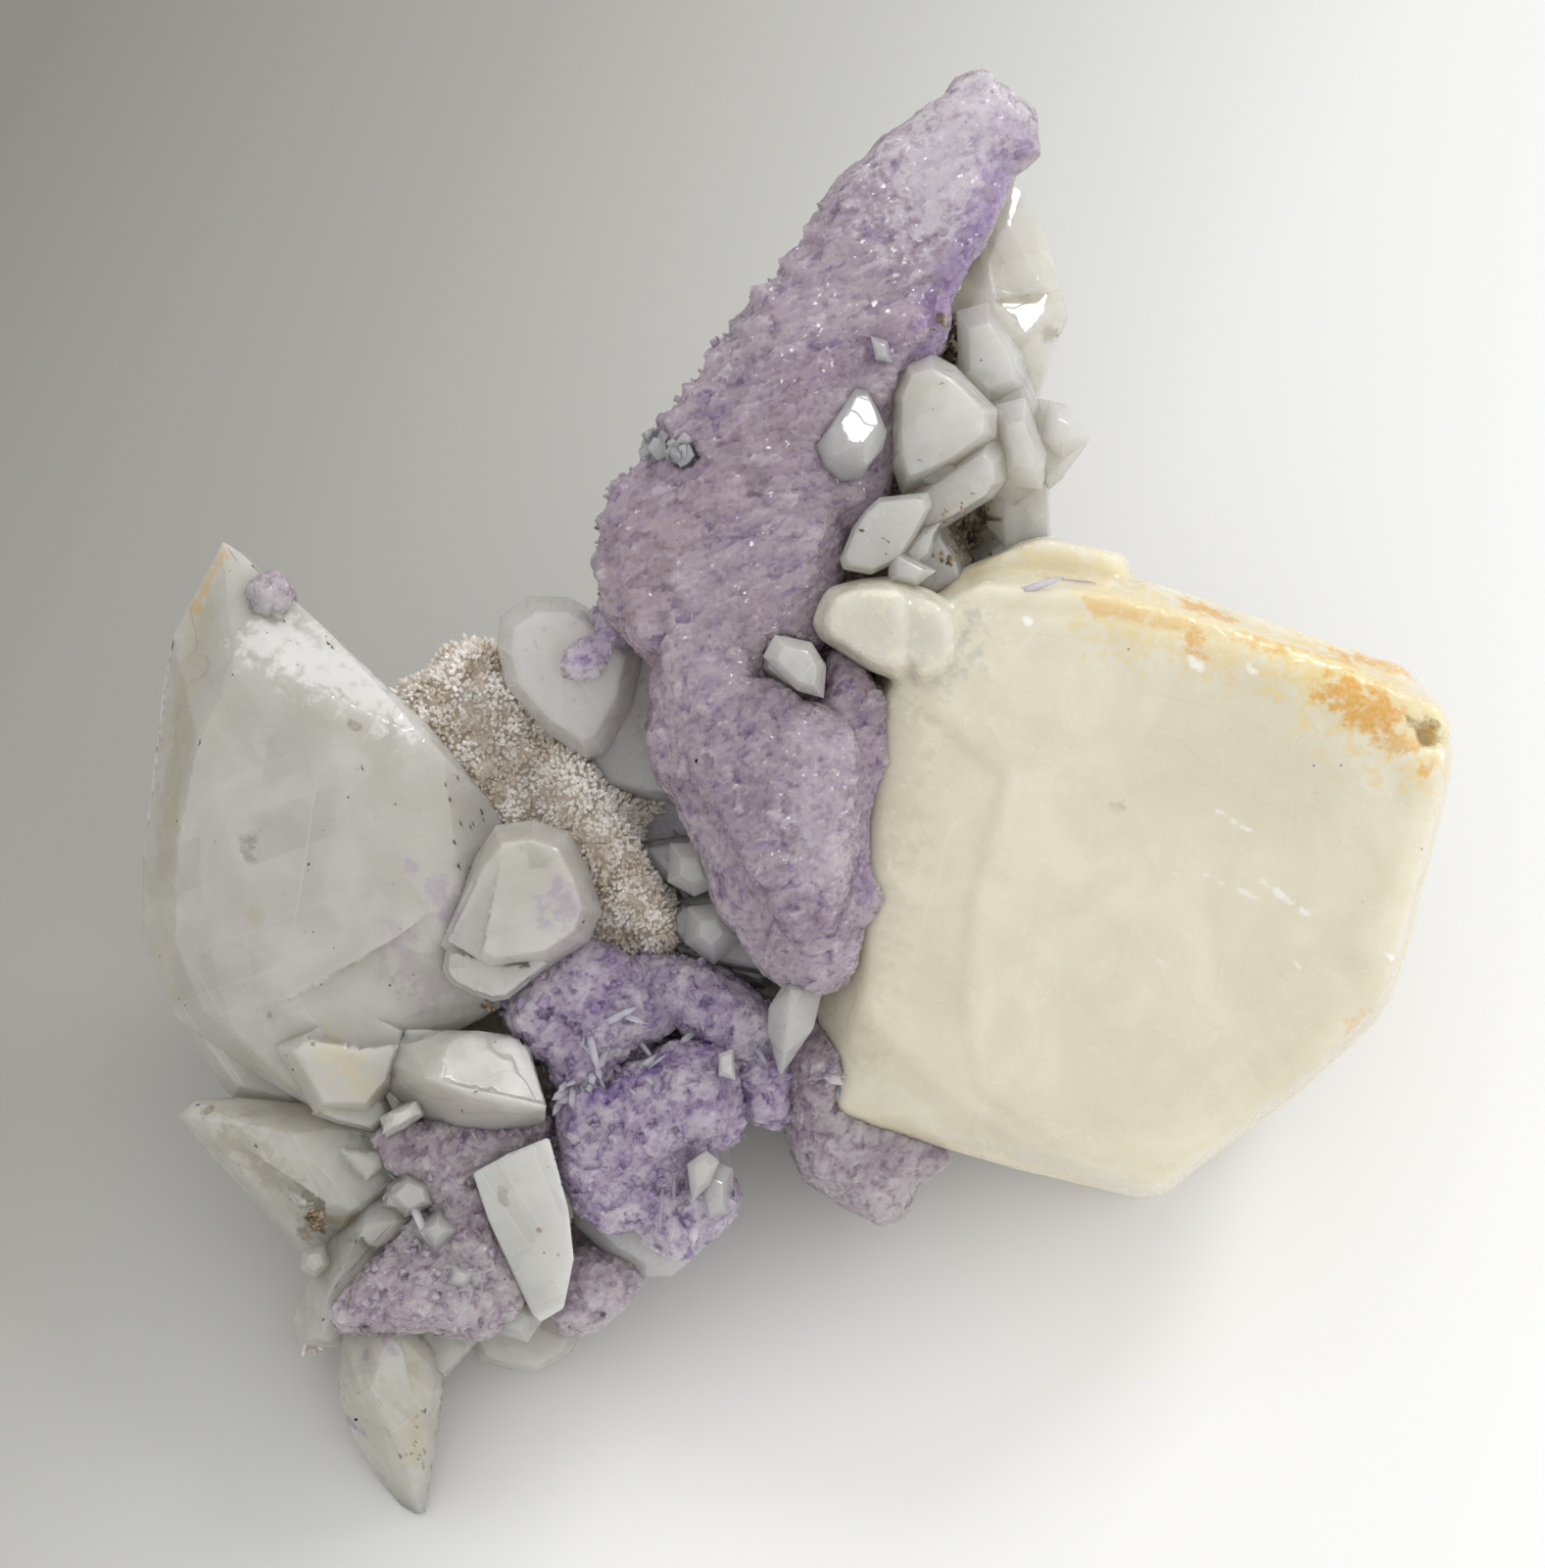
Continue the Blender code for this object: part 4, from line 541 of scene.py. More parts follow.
def crystal_mesh(name, nodes, longest=0.6, edge=0.14, swell=0.04, fatten=0.0, seed=0.0, melt=0, facets=()):
    """A crystal with flat faces, narrow bevels on its edges, and facets cut for its glints."""
    if melt:
        bm = melted(name, nodes, longest, melt)
    else:
        bm = solid_copy(*nodes)
        bmesh.ops.dissolve_limit(bm, angle_limit=math.radians(2.0), verts=bm.verts, edges=bm.edges)
        sharp = [rim for rim in bm.edges if rim.is_manifold and rim.calc_face_angle_signed(0.0) > math.radians(14.0)]
        bmesh.ops.bevel(bm, geom=sharp, offset=edge * MM, offset_type="OFFSET", segments=1, profile=0.5,
                        affect="EDGES", clamp_overlap=True, material=-1)
        bmesh.ops.dissolve_degenerate(bm, dist=0.02 * MM, edges=bm.edges)
        refine(bm, longest)
    bm.normal_update()
    moves = []
    for vert in bm.verts:
        place = vert.co / MM + Vector((seed, 0.0, 0.0))
        lift = swell * (noise.noise(place / 6.0) + 0.4 * noise.noise(place / 2.5)) + fatten
        moves.append((vert, vert.normal * lift * MM))
    for vert, move in moves:
        vert.co += move
    bm.normal_update()
    cuts = [facet(bm, *cut) for cut in facets]
    if cuts:
        bmesh.ops.remove_doubles(bm, verts=bm.verts, dist=0.05 * MM)
        print(f"{name}: corners moved by its facets {cuts}")
    keep_in_box(bm)
    return mesh_from(bm, name)


# %% Etched fluorite
TILTS = [Vector((0.9, 0.2, 0.3)), Vector((-0.3, 0.9, -0.2)), Vector((-0.2, -0.4, 0.9)), Vector((-0.8, -0.5, -0.5)),
         Vector((0.1, 0.6, 0.8))]


def facet_lift(place, size, tilt=1.0):
    """The height of small tilted facets at a place, between about -1 and 1."""
    spot = place / size
    centre = noise.voronoi(spot)[1][0]
    pick = noise.noise(centre * 3.71)
    lean = TILTS[int(abs(pick) * 97.0) % len(TILTS)]
    return lean.dot(spot - centre) * tilt + noise.noise(centre * 7.3) * 0.8


def melted(name, nodes, voxel, rounds):
    """Some solids melted into an even mesh of small faces, smoothed for some rounds."""
    bm = solid_copy(*nodes)
    obj = bpy.data.objects.new(name + ".melt", mesh_from(bm, name))
    bpy.context.scene.collection.objects.link(obj)
    melt = obj.modifiers.new("Melt", "REMESH")
    melt.mode = "VOXEL"
    melt.voxel_size = voxel * MM
    soften = obj.modifiers.new("Soften", "SMOOTH")
    soften.iterations = rounds
    mesh = bpy.data.meshes.new_from_object(obj.evaluated_get(bpy.context.evaluated_depsgraph_get()))
    bpy.data.objects.remove(obj, do_unlink=True)
    bm = bmesh.new()
    bm.from_mesh(mesh)
    bm.normal_update()
    return bm


def etched_mesh(name, nodes, voxel=0.34, relief=0.3, size=1.5, fatten=0.35, grain=(1.0, 0.0, 0.0), stretch=1.0,
                seed=0.0, scallops=None):
    """A fluorite mass with the tiny stepped facets of an etched surface."""
    bm = melted(name, nodes, voxel, 3)
    axis = Vector(grain).normalized()
    lifts = []
    for vert in bm.verts:
        place = vert.co / MM + Vector((seed, 0.0, 0.0))
        if stretch > 1.0:
            along_grain = min(1.0, max(0.0, (view_of(vert.co)[1] - 6.0) / 10.0))
            place -= axis * place.dot(axis) * (1.0 - 1.0 / stretch) * along_grain
        warp = noise.noise_vector(place / 2.5) * 0.5
        coarse = facet_lift(place + warp, size)
        fine = facet_lift(place * 1.0 + Vector((31.0, 7.0, 0.0)), size * 0.45)
        lifts.append(coarse * 0.62 + fine * 0.32)
    low, high = min(lifts), max(lifts)
    for vert, lift in zip(bm.verts, lifts):
        edge = scallops(vert) if scallops else 0.0
        vert.co += vert.normal * (fatten + relief * lift - edge) * MM
    keep_in_box(bm)
    rises = [(lift - low) / (high - low) for lift in lifts]
    mesh = mesh_from(bm, name)
    field = mesh.attributes.new("rise", "FLOAT", "POINT")
    middle = sorted(rises)[len(rises) // 2]
    field.data.foreach_set("value", [min(1.0, max(0.0, 0.5 + (rise - middle) * 1.6)) for rise in rises])
    return mesh


# %% [markdown]
# ## Small crystals by the hundred
#
# The rock's skin is quartz: short six-sided prisms with points, a third of a millimetre across.
# One prism is modelled, and a helper joins hundreds of turned and scaled copies of it into one
# piece, which is far lighter than hundreds of objects.


# %% A prism, a block and a fleck
def prism_shape(tip=0.55, sides=6):
    """A unit prism along +Z with a point: its foot at 0 and its point near 1."""
    bm = bmesh.new()
    bmesh.ops.create_cone(bm, cap_ends=True, segments=sides, radius1=0.5, radius2=0.44, depth=1.0)
    bmesh.ops.translate(bm, verts=bm.verts, vec=(0.0, 0.0, 0.5))
    bm.faces.ensure_lookup_table()
    top = max(bm.faces, key=lambda face: face.calc_center_median().z)
    bmesh.ops.poke(bm, faces=[top], offset=tip)
    bmesh.ops.scale(bm, verts=bm.verts, vec=(1.0, 1.0, 1.0 / (1.0 + tip)))
    return bm


def block_shape(edge=0.12):
    """A unit block with bevelled edges, centred on its foot."""
    bm = bmesh.new()
    bmesh.ops.create_cube(bm, size=1.0)
    bmesh.ops.bevel(bm, geom=bm.edges[:], offset=edge, offset_type="OFFSET", segments=1, profile=0.5,
                    affect="EDGES", material=-1)
    return bm


def fleck_shape():
    """A small irregular grain."""
    bm = bmesh.new()
    bmesh.ops.create_icosphere(bm, subdivisions=1, radius=0.5)
    for vert in bm.verts:
        vert.co *= 1.0 + 0.5 * noise.noise(vert.co * 4.0)
    return bm


def many(name, shape, frames):
    """One mesh of a shape's copies, each placed by its own matrix."""
    corners = np.array([(*vert.co, 1.0) for vert in shape.verts])
    faces = [[vert.index for vert in face.verts] for face in shape.faces]
    shape.free()
    matrices = np.array([[list(row) for row in matrix] for matrix in frames])
    placed = np.einsum("nij,kj->nki", matrices, corners)[:, :, :3].reshape(-1, 3)
    loops = [[index + start * len(corners) for index in face] for start in range(len(frames)) for face in faces]
    mesh = bpy.data.meshes.new(name)
    mesh.from_pydata(placed.tolist(), [], loops)
    return mesh


def stand(place, direction, length, width, turn=0.0, depth=None):
    """A matrix that stands a unit shape on a place, along a direction; sizes in millimetres."""
    upright = direction.to_track_quat("Z", "Y").to_matrix().to_4x4()
    spin = Matrix.Rotation(turn, 4, "Z")
    size = Matrix.Diagonal((width * MM, (depth or width) * MM, length * MM, 1.0))
    return Matrix.Translation(place) @ upright @ spin @ size


def sprinkle(mesh, count, draw, keep=None):
    """Random places on a mesh and the normals there; keep may turn a place down."""
    mesh.calc_loop_triangles()
    corners = np.empty(len(mesh.vertices) * 3)
    mesh.vertices.foreach_get("co", corners)
    corners = corners.reshape(-1, 3)
    index = np.empty(len(mesh.loop_triangles) * 3, np.int32)
    mesh.loop_triangles.foreach_get("vertices", index)
    a, b, c = (corners[index.reshape(-1, 3)[:, i]] for i in range(3))
    cross = np.cross(b - a, c - a)
    areas = np.linalg.norm(cross, axis=1)
    edges = np.cumsum(areas)
    found = []
    tries = 0
    while len(found) < count and tries < count * 60:
        tries += 1
        i = int(np.searchsorted(edges, draw.random() * edges[-1]))
        i = min(i, len(areas) - 1)
        r, s = draw.random(), draw.random()
        if r + s > 1.0:
            r, s = 1.0 - r, 1.0 - s
        place = Vector(a[i] + r * (b[i] - a[i]) + s * (c[i] - a[i]))
        normal = Vector(cross[i]).normalized()
        if keep is None or keep(place, normal):
            found.append((place, normal))
    return found


def leaning(normal, draw, amount):
    """A direction near a normal."""
    sway = Vector((draw.uniform(-1.0, 1.0), draw.uniform(-1.0, 1.0), draw.uniform(-1.0, 1.0)))
    return (normal + sway * amount).normalized()


# %% [markdown]
# ## The big calcite crystals

# %% The left crystal
OLIVE = (0.52, 0.48, 0.34)
BROWN = (0.24, 0.17, 0.09)
GREY = (0.30, 0.30, 0.27)
BLACK = (0.04, 0.035, 0.03)
# The white named here serves both frosted sugary faces and painted glints.
SUGAR_AND_GLINT = (0.88, 0.88, 0.87)
VIOLET = (0.34, 0.22, 0.44)
ORANGE = (0.68, 0.37, 0.06)
YELLOW = (0.74, 0.60, 0.27)

# The white band along the upper ridge is partly frosted sugary calcite and partly a painted highlight; the grey-brown
# patch on the lower right face is painted shade.
left_stains_and_painted_light = [
    (-46.5, 14.0, -49.0, -2.0, 2.6, OLIVE, 0.45), (-49.0, -2.0, -49.6, -16.0, 2.2, OLIVE, 0.3),
    (-45.0, 19.0, -47.0, 14.5, 1.2, ORANGE, 0.55), (-41.0, 12.0, -29.5, 5.2, 3.2, SUGAR_AND_GLINT, 0.7),
    (-42.7, -4.6, -42.7, -6.0, 0.9, GREY, 0.75), (-42.0, -10.5, -42.2, -10.9, 0.9, OLIVE, 0.5),
    (-34.5, 5.0, -33.8, 4.7, 0.5, BROWN, 0.6), (-37.7, 0.3, -37.7, 0.3, 0.16, BLACK, 0.9),
    (-37.5, -21.2, -37.5, -21.2, 0.3, BLACK, 0.8), (-30.1, -16.7, -30.1, -16.7, 0.2, BLACK, 0.8),
    (-34.0, -12.0, -34.0, -12.0, 0.18, BLACK, 0.8), (-41.0, -18.8, -41.0, -18.8, 0.35, GREY, 0.7),
    (-27.4, -8.6, -25.8, -11.0, 1.6, VIOLET, 0.32), (-31.0, -13.0, -28.0, -17.0, 2.0, VIOLET, 0.22),
    (-29.5, -7.0, -29.5, -7.0, 0.9, VIOLET, 0.3), (-17.0, -10.0, -18.5, -15.0, 2.4, VIOLET, 0.38),
    (-19.0, -6.0, -19.6, -5.4, 1.1, GREY, 0.35), (-36.0, -21.0, -33.0, -25.0, 1.8, YELLOW, 0.3),
    (-29.0, -15.0, -21.0, -18.5, 3.0, (0.40, 0.37, 0.33), 0.35), (-44.0, -22.0, -36.0, -26.5, 1.6, OLIVE, 0.35),
]
left_facets = [
    ([(-44.4, 15.0), (-43.8, 10.0), (-37.0, 8.0), (-31.0, 5.0), (-26.0, 1.4), (-24.0, 3.5), (-34.0, 16.0)],
     (-35.0, 7.0, 4.6), (-0.295, -0.60), 3.0),
    ([(-25.0, -8.0), (-30.0, -12.0), (-40.0, -18.0), (-37.0, -22.0), (-29.0, -21.0), (-20.0, -17.0), (-20.0, -9.0)],
     (-30.0, -12.0, 4.95), (0.04, 0.2), 1.6),
    ([(-28.0, -15.0), (-23.6, -2.6), (-21.6, -3.4), (-23.8, -15.0)], (-22.3, -9.0, 8.4), (0.55, 0.1), 3.0),
    ([(-28.4, -24.0), (-26.6, -21.4), (-24.0, -19.8), (-17.0, -19.8), (-16.0, -26.6), (-24.0, -25.0)],
     (-23.3, -24.9, 7.0), (-0.32, -0.54), 4.0),
]
left_finish = calcite("milky calcite, left", (0.64, 0.625, 0.59), (0.55, 0.535, 0.49), left_stains_and_painted_light,
                      clear=0.2, lines=(0.3, 0.5, 1.1), rough=0.16, purple=0.10, cleave=0.4, layer=5.0)
left_mesh = crystal_mesh("calcite_left_crystal", ["calcite_left"], longest=0.55, fatten=0.16, seed=3.0,
                         facets=left_facets)
add_piece("calcite_left_crystal", left_mesh, left_finish, ["calcite_left"], smooth=25)

# %% The right crystal
# Some small white dabs, near the top edge and on the chip at the right, are painted glints, and the greyer patches over
# the crystal's left part are painted shade; the rest are stains.
right_stains_and_painted_light = [
    (46.0, 9.0, 53.0, 5.0, 6.0, YELLOW, 0.55), (28.0, 14.6, 46.0, 10.0, 4.6, YELLOW, 0.5),
    (55.0, 1.0, 51.8, -14.0, 5.0, YELLOW, 0.4), (51.0, -15.0, 42.0, -26.0, 4.6, YELLOW, 0.4),
    (42.0, -26.0, 32.0, -34.0, 3.0, YELLOW, 0.3), (6.0, -27.0, 24.0, -32.0, 3.4, YELLOW, 0.22),
    (14.0, 16.6, 28.0, 17.0, 3.0, YELLOW, 0.35),
    (33.9, 14.4, 36.6, 13.4, 1.5, ORANGE, 0.9), (34.2, 12.0, 34.6, 10.8, 1.1, ORANGE, 0.7),
    (26.0, 14.4, 33.0, 13.2, 1.0, ORANGE, 0.4), (38.0, 12.0, 47.0, 9.6, 0.8, ORANGE, 0.55),
    (46.4, 10.4, 51.6, 9.0, 1.3, ORANGE, 0.75), (46.4, 7.6, 49.6, 6.0, 2.4, ORANGE, 0.9),
    (49.4, 3.6, 52.4, 3.0, 1.2, ORANGE, 0.6), (53.4, 1.2, 54.8, 0.6, 0.9, ORANGE, 0.7),
    (52.0, 5.0, 54.0, 4.8, 0.7, BROWN, 0.7), (53.6, 3.0, 54.6, 2.2, 0.6, SUGAR_AND_GLINT, 0.9), (34.2, 10.2, 34.8, 9.6, 0.6, SUGAR_AND_GLINT, 0.9),
    (38.8, 9.8, 39.2, 9.2, 0.5, SUGAR_AND_GLINT, 0.8), (20.6, 13.4, 20.9, 13.2, 0.4, SUGAR_AND_GLINT, 0.8), (47.0, -19.8, 48.2, -18.8, 1.0, ORANGE, 0.35),
    (5.0, 14.0, 13.0, 12.5, 5.5, (0.60, 0.58, 0.51), 1.0), (10.0, 4.0, 6.0, -20.0, 4.4, (0.62, 0.58, 0.46), 0.7),
    (15.0, -6.0, 13.0, -22.0, 2.6, (0.68, 0.63, 0.50), 0.3),
    (36.4, -2.2, 38.8, -3.8, 0.35, SUGAR_AND_GLINT, 0.6), (35.4, -7.4, 39.6, -9.4, 0.3, SUGAR_AND_GLINT, 0.5),
    (40.0, -8.0, 43.8, -10.6, 0.4, SUGAR_AND_GLINT, 0.6), (48.4, -12.8, 50.6, -14.2, 0.25, SUGAR_AND_GLINT, 0.6),
    (41.2, -13.2, 43.0, -14.8, 0.3, SUGAR_AND_GLINT, 0.6), (31.0, -14.0, 33.0, -15.4, 0.2, SUGAR_AND_GLINT, 0.4),
    (21.4, -3.0, 21.4, -3.0, 0.16, BLACK, 0.8), (28.0, -1.8, 28.4, -1.8, 0.5, OLIVE, 0.6),
    (28.4, -4.7, 28.4, -4.7, 0.2, BLACK, 0.7), (53.0, -5.3, 53.0, -5.3, 0.16, BLACK, 0.8),
    (45.0, -7.0, 45.0, -7.0, 0.14, BLACK, 0.8), (11.0, -0.1, 11.0, -0.1, 0.16, BLACK, 0.8),
    (18.0, 0.9, 18.0, 0.9, 0.16, BLACK, 0.8), (8.7, -3.7, 8.7, -3.7, 0.16, BLACK, 0.8),
]
right_finish = calcite("cream calcite, right", (0.755, 0.715, 0.595), (0.70, 0.655, 0.525), right_stains_and_painted_light,
                       lines=(0.0, 0.6, 2.0), line_depth=0.03, scatter=0.0035, cleave=0.22, layer=7.0)
right_mesh = crystal_mesh("calcite_right_crystal", ["calcite_right"], longest=0.42, fatten=0.2, swell=0.1, seed=9.0,
                          melt=5)
add_piece("calcite_right_crystal", right_mesh, right_finish, ["calcite_right"], smooth=25)

# %% [markdown]
# ## The smaller calcites

# %% Lower left points and the white blade
lower_stains = [
    (-47.6, -26.2, -46.0, -26.6, 0.7, BROWN, 0.7), (-38.2, -34.8, -38.2, -36.8, 1.0, BROWN, 0.75),
    (-37.0, -35.0, -34.2, -35.8, 0.7, (0.42, 0.32, 0.14), 0.6), (-44.0, -29.0, -40.0, -33.0, 2.6, (0.44, 0.42, 0.33), 0.5),
    (-34.4, -52.0, -31.8, -57.2, 0.7, VIOLET, 0.7), (-31.4, -45.5, -31.2, -46.2, 0.8, VIOLET, 0.5),
    (-28.8, -45.3, -28.8, -45.3, 0.5, VIOLET, 0.5), (-33.0, -46.5, -33.0, -46.5, 0.6, VIOLET, 0.4),
    (-29.6, -46.0, -29.4, -55.0, 1.2, YELLOW, 0.25),
]
lower_facets = [
    ([(-30.7, -44.0), (-29.4, -50.0), (-29.8, -55.0), (-28.6, -60.0), (-25.0, -56.0), (-25.0, -45.0)],
     (-29.5, -50.0, -0.7), (-0.75, 0.1)),
    ([(-48.2, -26.3), (-42.0, -30.4), (-36.5, -34.2), (-37.0, -38.0), (-49.0, -31.0)], (-42.0, -30.5, -0.6), (0.5, 0.7)),
    ([(-33.0, -36.0), (-36.6, -42.4), (-33.0, -43.6), (-29.0, -38.0)], (-34.6, -39.0, 1.0), (-0.4, -0.1)),
    ([(-41.0, -27.0), (-30.0, -29.5), (-33.0, -35.0), (-37.0, -34.0)], (-37.0, -31.0, 1.5), (-0.3, -0.1)),
]
lower_finish = calcite("clear milky calcite, lower left", (0.73, 0.715, 0.66), (0.61, 0.59, 0.52), lower_stains,
                       clear=0.35, scatter=0.01, lines=(0.8, 0.2, 0.4), rough=0.1, veil=7.0)
lower_mesh = crystal_mesh("calcite_lower_points", ["calcite_lower_left"], longest=0.45, fatten=0.16, seed=5.0,
                          facets=lower_facets)
add_piece("calcite_lower_points", lower_mesh, lower_finish, ["calcite_lower_left"], smooth=25)

white_stains = [(-22.0, -33.4, -22.2, -34.0, 0.7, GREY, 0.6), (-17.5, -38.4, -17.5, -38.4, 0.3, BLACK, 0.8),
                (-19.0, -36.4, -19.0, -36.4, 0.25, BROWN, 0.6)]
white_finish = calcite("white calcite blade", (0.66, 0.66, 0.63), (0.60, 0.60, 0.57), white_stains, clear=0.05,
                       lines=(0.4, 0.1, 0.2), rough=0.2)
white_mesh = crystal_mesh("calcite_white_rhomb", ["calcite_white_blade"], longest=0.4, fatten=0.1, seed=6.0)
add_piece("calcite_white_rhomb", white_mesh, white_finish, ["calcite_white_blade"], smooth=25)

# %% Front blade, gem and the small glassy ones
pale_finish = calcite("pale calcite", (0.86, 0.84, 0.82), (0.76, 0.74, 0.71), clear=0.45, rough=0.12, purple=0.08,
                      veil=6.0)
for piece, source, slot_name in [("calcite_small_blade", "calcite_front_blade", "calcite_milky"),
                                 ("calcite_notch_pair", "calcite_notch", "calcite_clear")]:
    mesh = crystal_mesh(piece, [source], longest=0.35, seed=7.0)
    add_piece(piece, mesh, pale_finish, [source], smooth=25)

gem_finish = calcite("glassy calcite", (0.92, 0.91, 0.91), (0.84, 0.83, 0.83), clear=0.5, rough=0.05, line_depth=0.02,
                     plates=0.02)
gem_facets = [
    ([(3.0, 27.9), (9.6, 27.9), (9.6, 33.5), (3.0, 33.5)], (6.3, 28.1, 12.2), (-0.3, -0.55), 4.0),
    ([(7.4, 33.0), (7.4, 24.0), (10.4, 24.0), (10.4, 33.0)], (7.5, 28.0, 11.9), (-1.0, 0.0), 4.0),
    ([(2.0, 29.0), (4.9, 29.0), (4.9, 24.0), (2.0, 24.0)], (4.9, 27.0, 11.4), (1.1, 0.0), 4.0),
]
for piece, source, slot_name, cuts in [("calcite_gem_crystal", "calcite_gem", "calcite_white", gem_facets),
                                       ("quartz_edge_pair", "quartz_side_cluster", "quartz_clear", ())]:
    mesh = crystal_mesh(piece, [source], longest=0.35, edge=0.06, swell=0.01, seed=8.0, facets=cuts)
    add_piece(piece, mesh, gem_finish, [source], smooth=20)

# %% Upper right cluster and the crystal behind it
# The near-black patches in the hollow beside the rhomb are partly the dark brown rock and partly painted shade in that
# deep hollow.
upper_stains_and_painted_shade = [
    (6.5, 18.0, 11.5, 22.0, 3.2, (0.74, 0.72, 0.65), 0.9), (12.0, 16.0, 14.0, 20.0, 2.6, (0.72, 0.68, 0.58), 0.8),
    (14.4, 20.6, 17.0, 22.4, 1.6, (0.12, 0.09, 0.05), 0.95), (15.0, 19.4, 16.4, 19.8, 1.0, (0.12, 0.09, 0.05), 0.9),
    (10.8, 17.0, 14.6, 16.8, 1.6, (0.72, 0.66, 0.50), 0.5), (17.6, 29.2, 17.6, 29.2, 0.18, BLACK, 0.8),
    (21.0, 28.3, 21.0, 28.3, 0.18, BLACK, 0.8), (20.0, 33.5, 20.0, 33.5, 0.18, BLACK, 0.8),
]
upper_finish = calcite("clear calcite, upper right", (0.88, 0.86, 0.81), (0.74, 0.71, 0.63), upper_stains_and_painted_shade, clear=0.35, scatter=0.012,
                       lines=(0.2, 0.9, 0.4), rough=0.14, purple=0.05, veil=7.0)
upper_mesh = crystal_mesh("calcite_upper_group", ["calcite_upper_cluster"], longest=0.45, fatten=0.2, seed=10.0)
add_piece("calcite_upper_group", upper_mesh, upper_finish, ["calcite_upper_cluster"], smooth=25)
back_finish = calcite("calcite behind the blade", (0.88, 0.86, 0.79), (0.78, 0.755, 0.67), clear=0.35,
                      lines=(0.9, 0.3, 0.1), rough=0.12)
back_facets = [
    ([(18.3, 39.6), (22.5, 40.2), (22.4, 37.6), (20.7, 36.8)], (20.6, 38.4, -2.7), (-0.3, -0.5)),
    ([(22.4, 45.0), (22.4, 40.0), (22.2, 36.0), (25.0, 38.0), (24.0, 45.0)], (22.6, 40.0, -4.0), (-0.9, 0.0)),
    ([(17.0, 46.0), (22.4, 46.0), (22.4, 40.2), (18.4, 39.6)], (20.0, 41.5, -2.6), (-0.15, -0.1)),
]
back_mesh = crystal_mesh("calcite_back_crystal", ["calcite_back_upper"], longest=0.45, seed=11.0, facets=back_facets)
add_piece("calcite_back_crystal", back_mesh, back_finish, ["calcite_back_upper"], smooth=25)

# %% The hollow and the crystal under the crust
hollow_stains = [(-13.0, -0.8, -8.5, -3.5, 1.6, VIOLET, 0.5), (-8.5, -1.0, -8.5, -1.0, 0.3, BLACK, 0.7),
                 (-12.0, -3.6, -12.0, -3.6, 0.3, BLACK, 0.7), (-9.5, -8.8, -9.5, -8.8, 0.35, (0.25, 0.06, 0.04), 0.8)]
hollow_finish = calcite("clear calcite, hollow", (0.88, 0.85, 0.82), (0.76, 0.73, 0.70), hollow_stains, clear=0.35, scatter=0.012,
                        rough=0.12, purple=0.2, veil=7.0)
for piece, source in [("calcite_hollow_group", "calcite_hollow"), ("calcite_below_crust", "calcite_under_crust")]:
    mesh = crystal_mesh(piece, [source], longest=0.45, fatten=0.15, seed=12.0)
    add_piece(piece, mesh, hollow_finish, [source], smooth=25)

# %% [markdown]
# ## The etched fluorite

# %% The blade
blade_stains = [
    (14.0, 49.0, 17.0, 54.0, 8.0, (0.90, 0.86, 0.92), 0.6), (3.6, 3.0, 4.0, -6.0, 4.0, (0.80, 0.74, 0.80), 0.5), (18.4, 49.0, 12.4, 35.0, 3.4, (0.36, 0.25, 0.52), 0.6),
    (-2.0, 14.0, 4.0, 4.0, 6.0, (0.44, 0.34, 0.40), 0.4),
    (-10.0, 20.0, -13.0, 8.0, 4.0, (0.50, 0.39, 0.42), 0.6), (2.0, 30.0, -6.0, 22.0, 4.0, (0.50, 0.40, 0.44), 0.5),
    (16.6, 45.0, 18.0, 48.0, 0.9, VIOLET, 0.7), (12.4, 37.6, 13.6, 40.6, 1.0, VIOLET, 0.7),
    (8.0, 36.0, 8.2, 34.6, 0.9, VIOLET, 0.6), (8.0, 44.8, 8.0, 44.8, 0.8, VIOLET, 0.6),
    (8.6, 1.0, 7.4, -9.0, 1.2, VIOLET, 0.5), (1.6, 21.0, 1.6, 21.0, 0.35, SUGAR_AND_GLINT, 0.9),
    (7.4, 38.3, 7.4, 38.3, 0.3, ORANGE, 0.8), (19.0, 54.0, 20.8, 52.0, 1.6, VIOLET, 0.4),
]
blade_finish = fluorite("etched fluorite, blade", (0.58, 0.49, 0.55), (0.43, 0.34, 0.42), (0.22, 0.13, 0.38),
                        blade_stains, rough=0.12, stretch=2.4)


def blade_scallops(vert):
    """How far the upper blade's left edge is eaten in between its teeth."""
    u, v, w = view_of(vert.co)
    if v < 15.0 or v > 47.0:
        return 0.0
    outward = -0.89 * vert.normal.x + 0.45 * (vert.normal.y * SIN + vert.normal.z * COS)
    pitch = abs(math.sin((u * 0.45 + v * 0.89) * math.pi / 3.2))
    return 0.8 * pitch * max(0.0, outward) ** 2


blade_mesh = etched_mesh("fluorite_blade_etched", ["fluorite_blade"], voxel=0.29, relief=0.32, size=1.3, fatten=0.38,
                         grain=(0.93, 0.33, 0.15), stretch=2.6, seed=1.0, scallops=blade_scallops)
add_piece("fluorite_blade_etched", blade_mesh, blade_finish, ["fluorite_blade"])

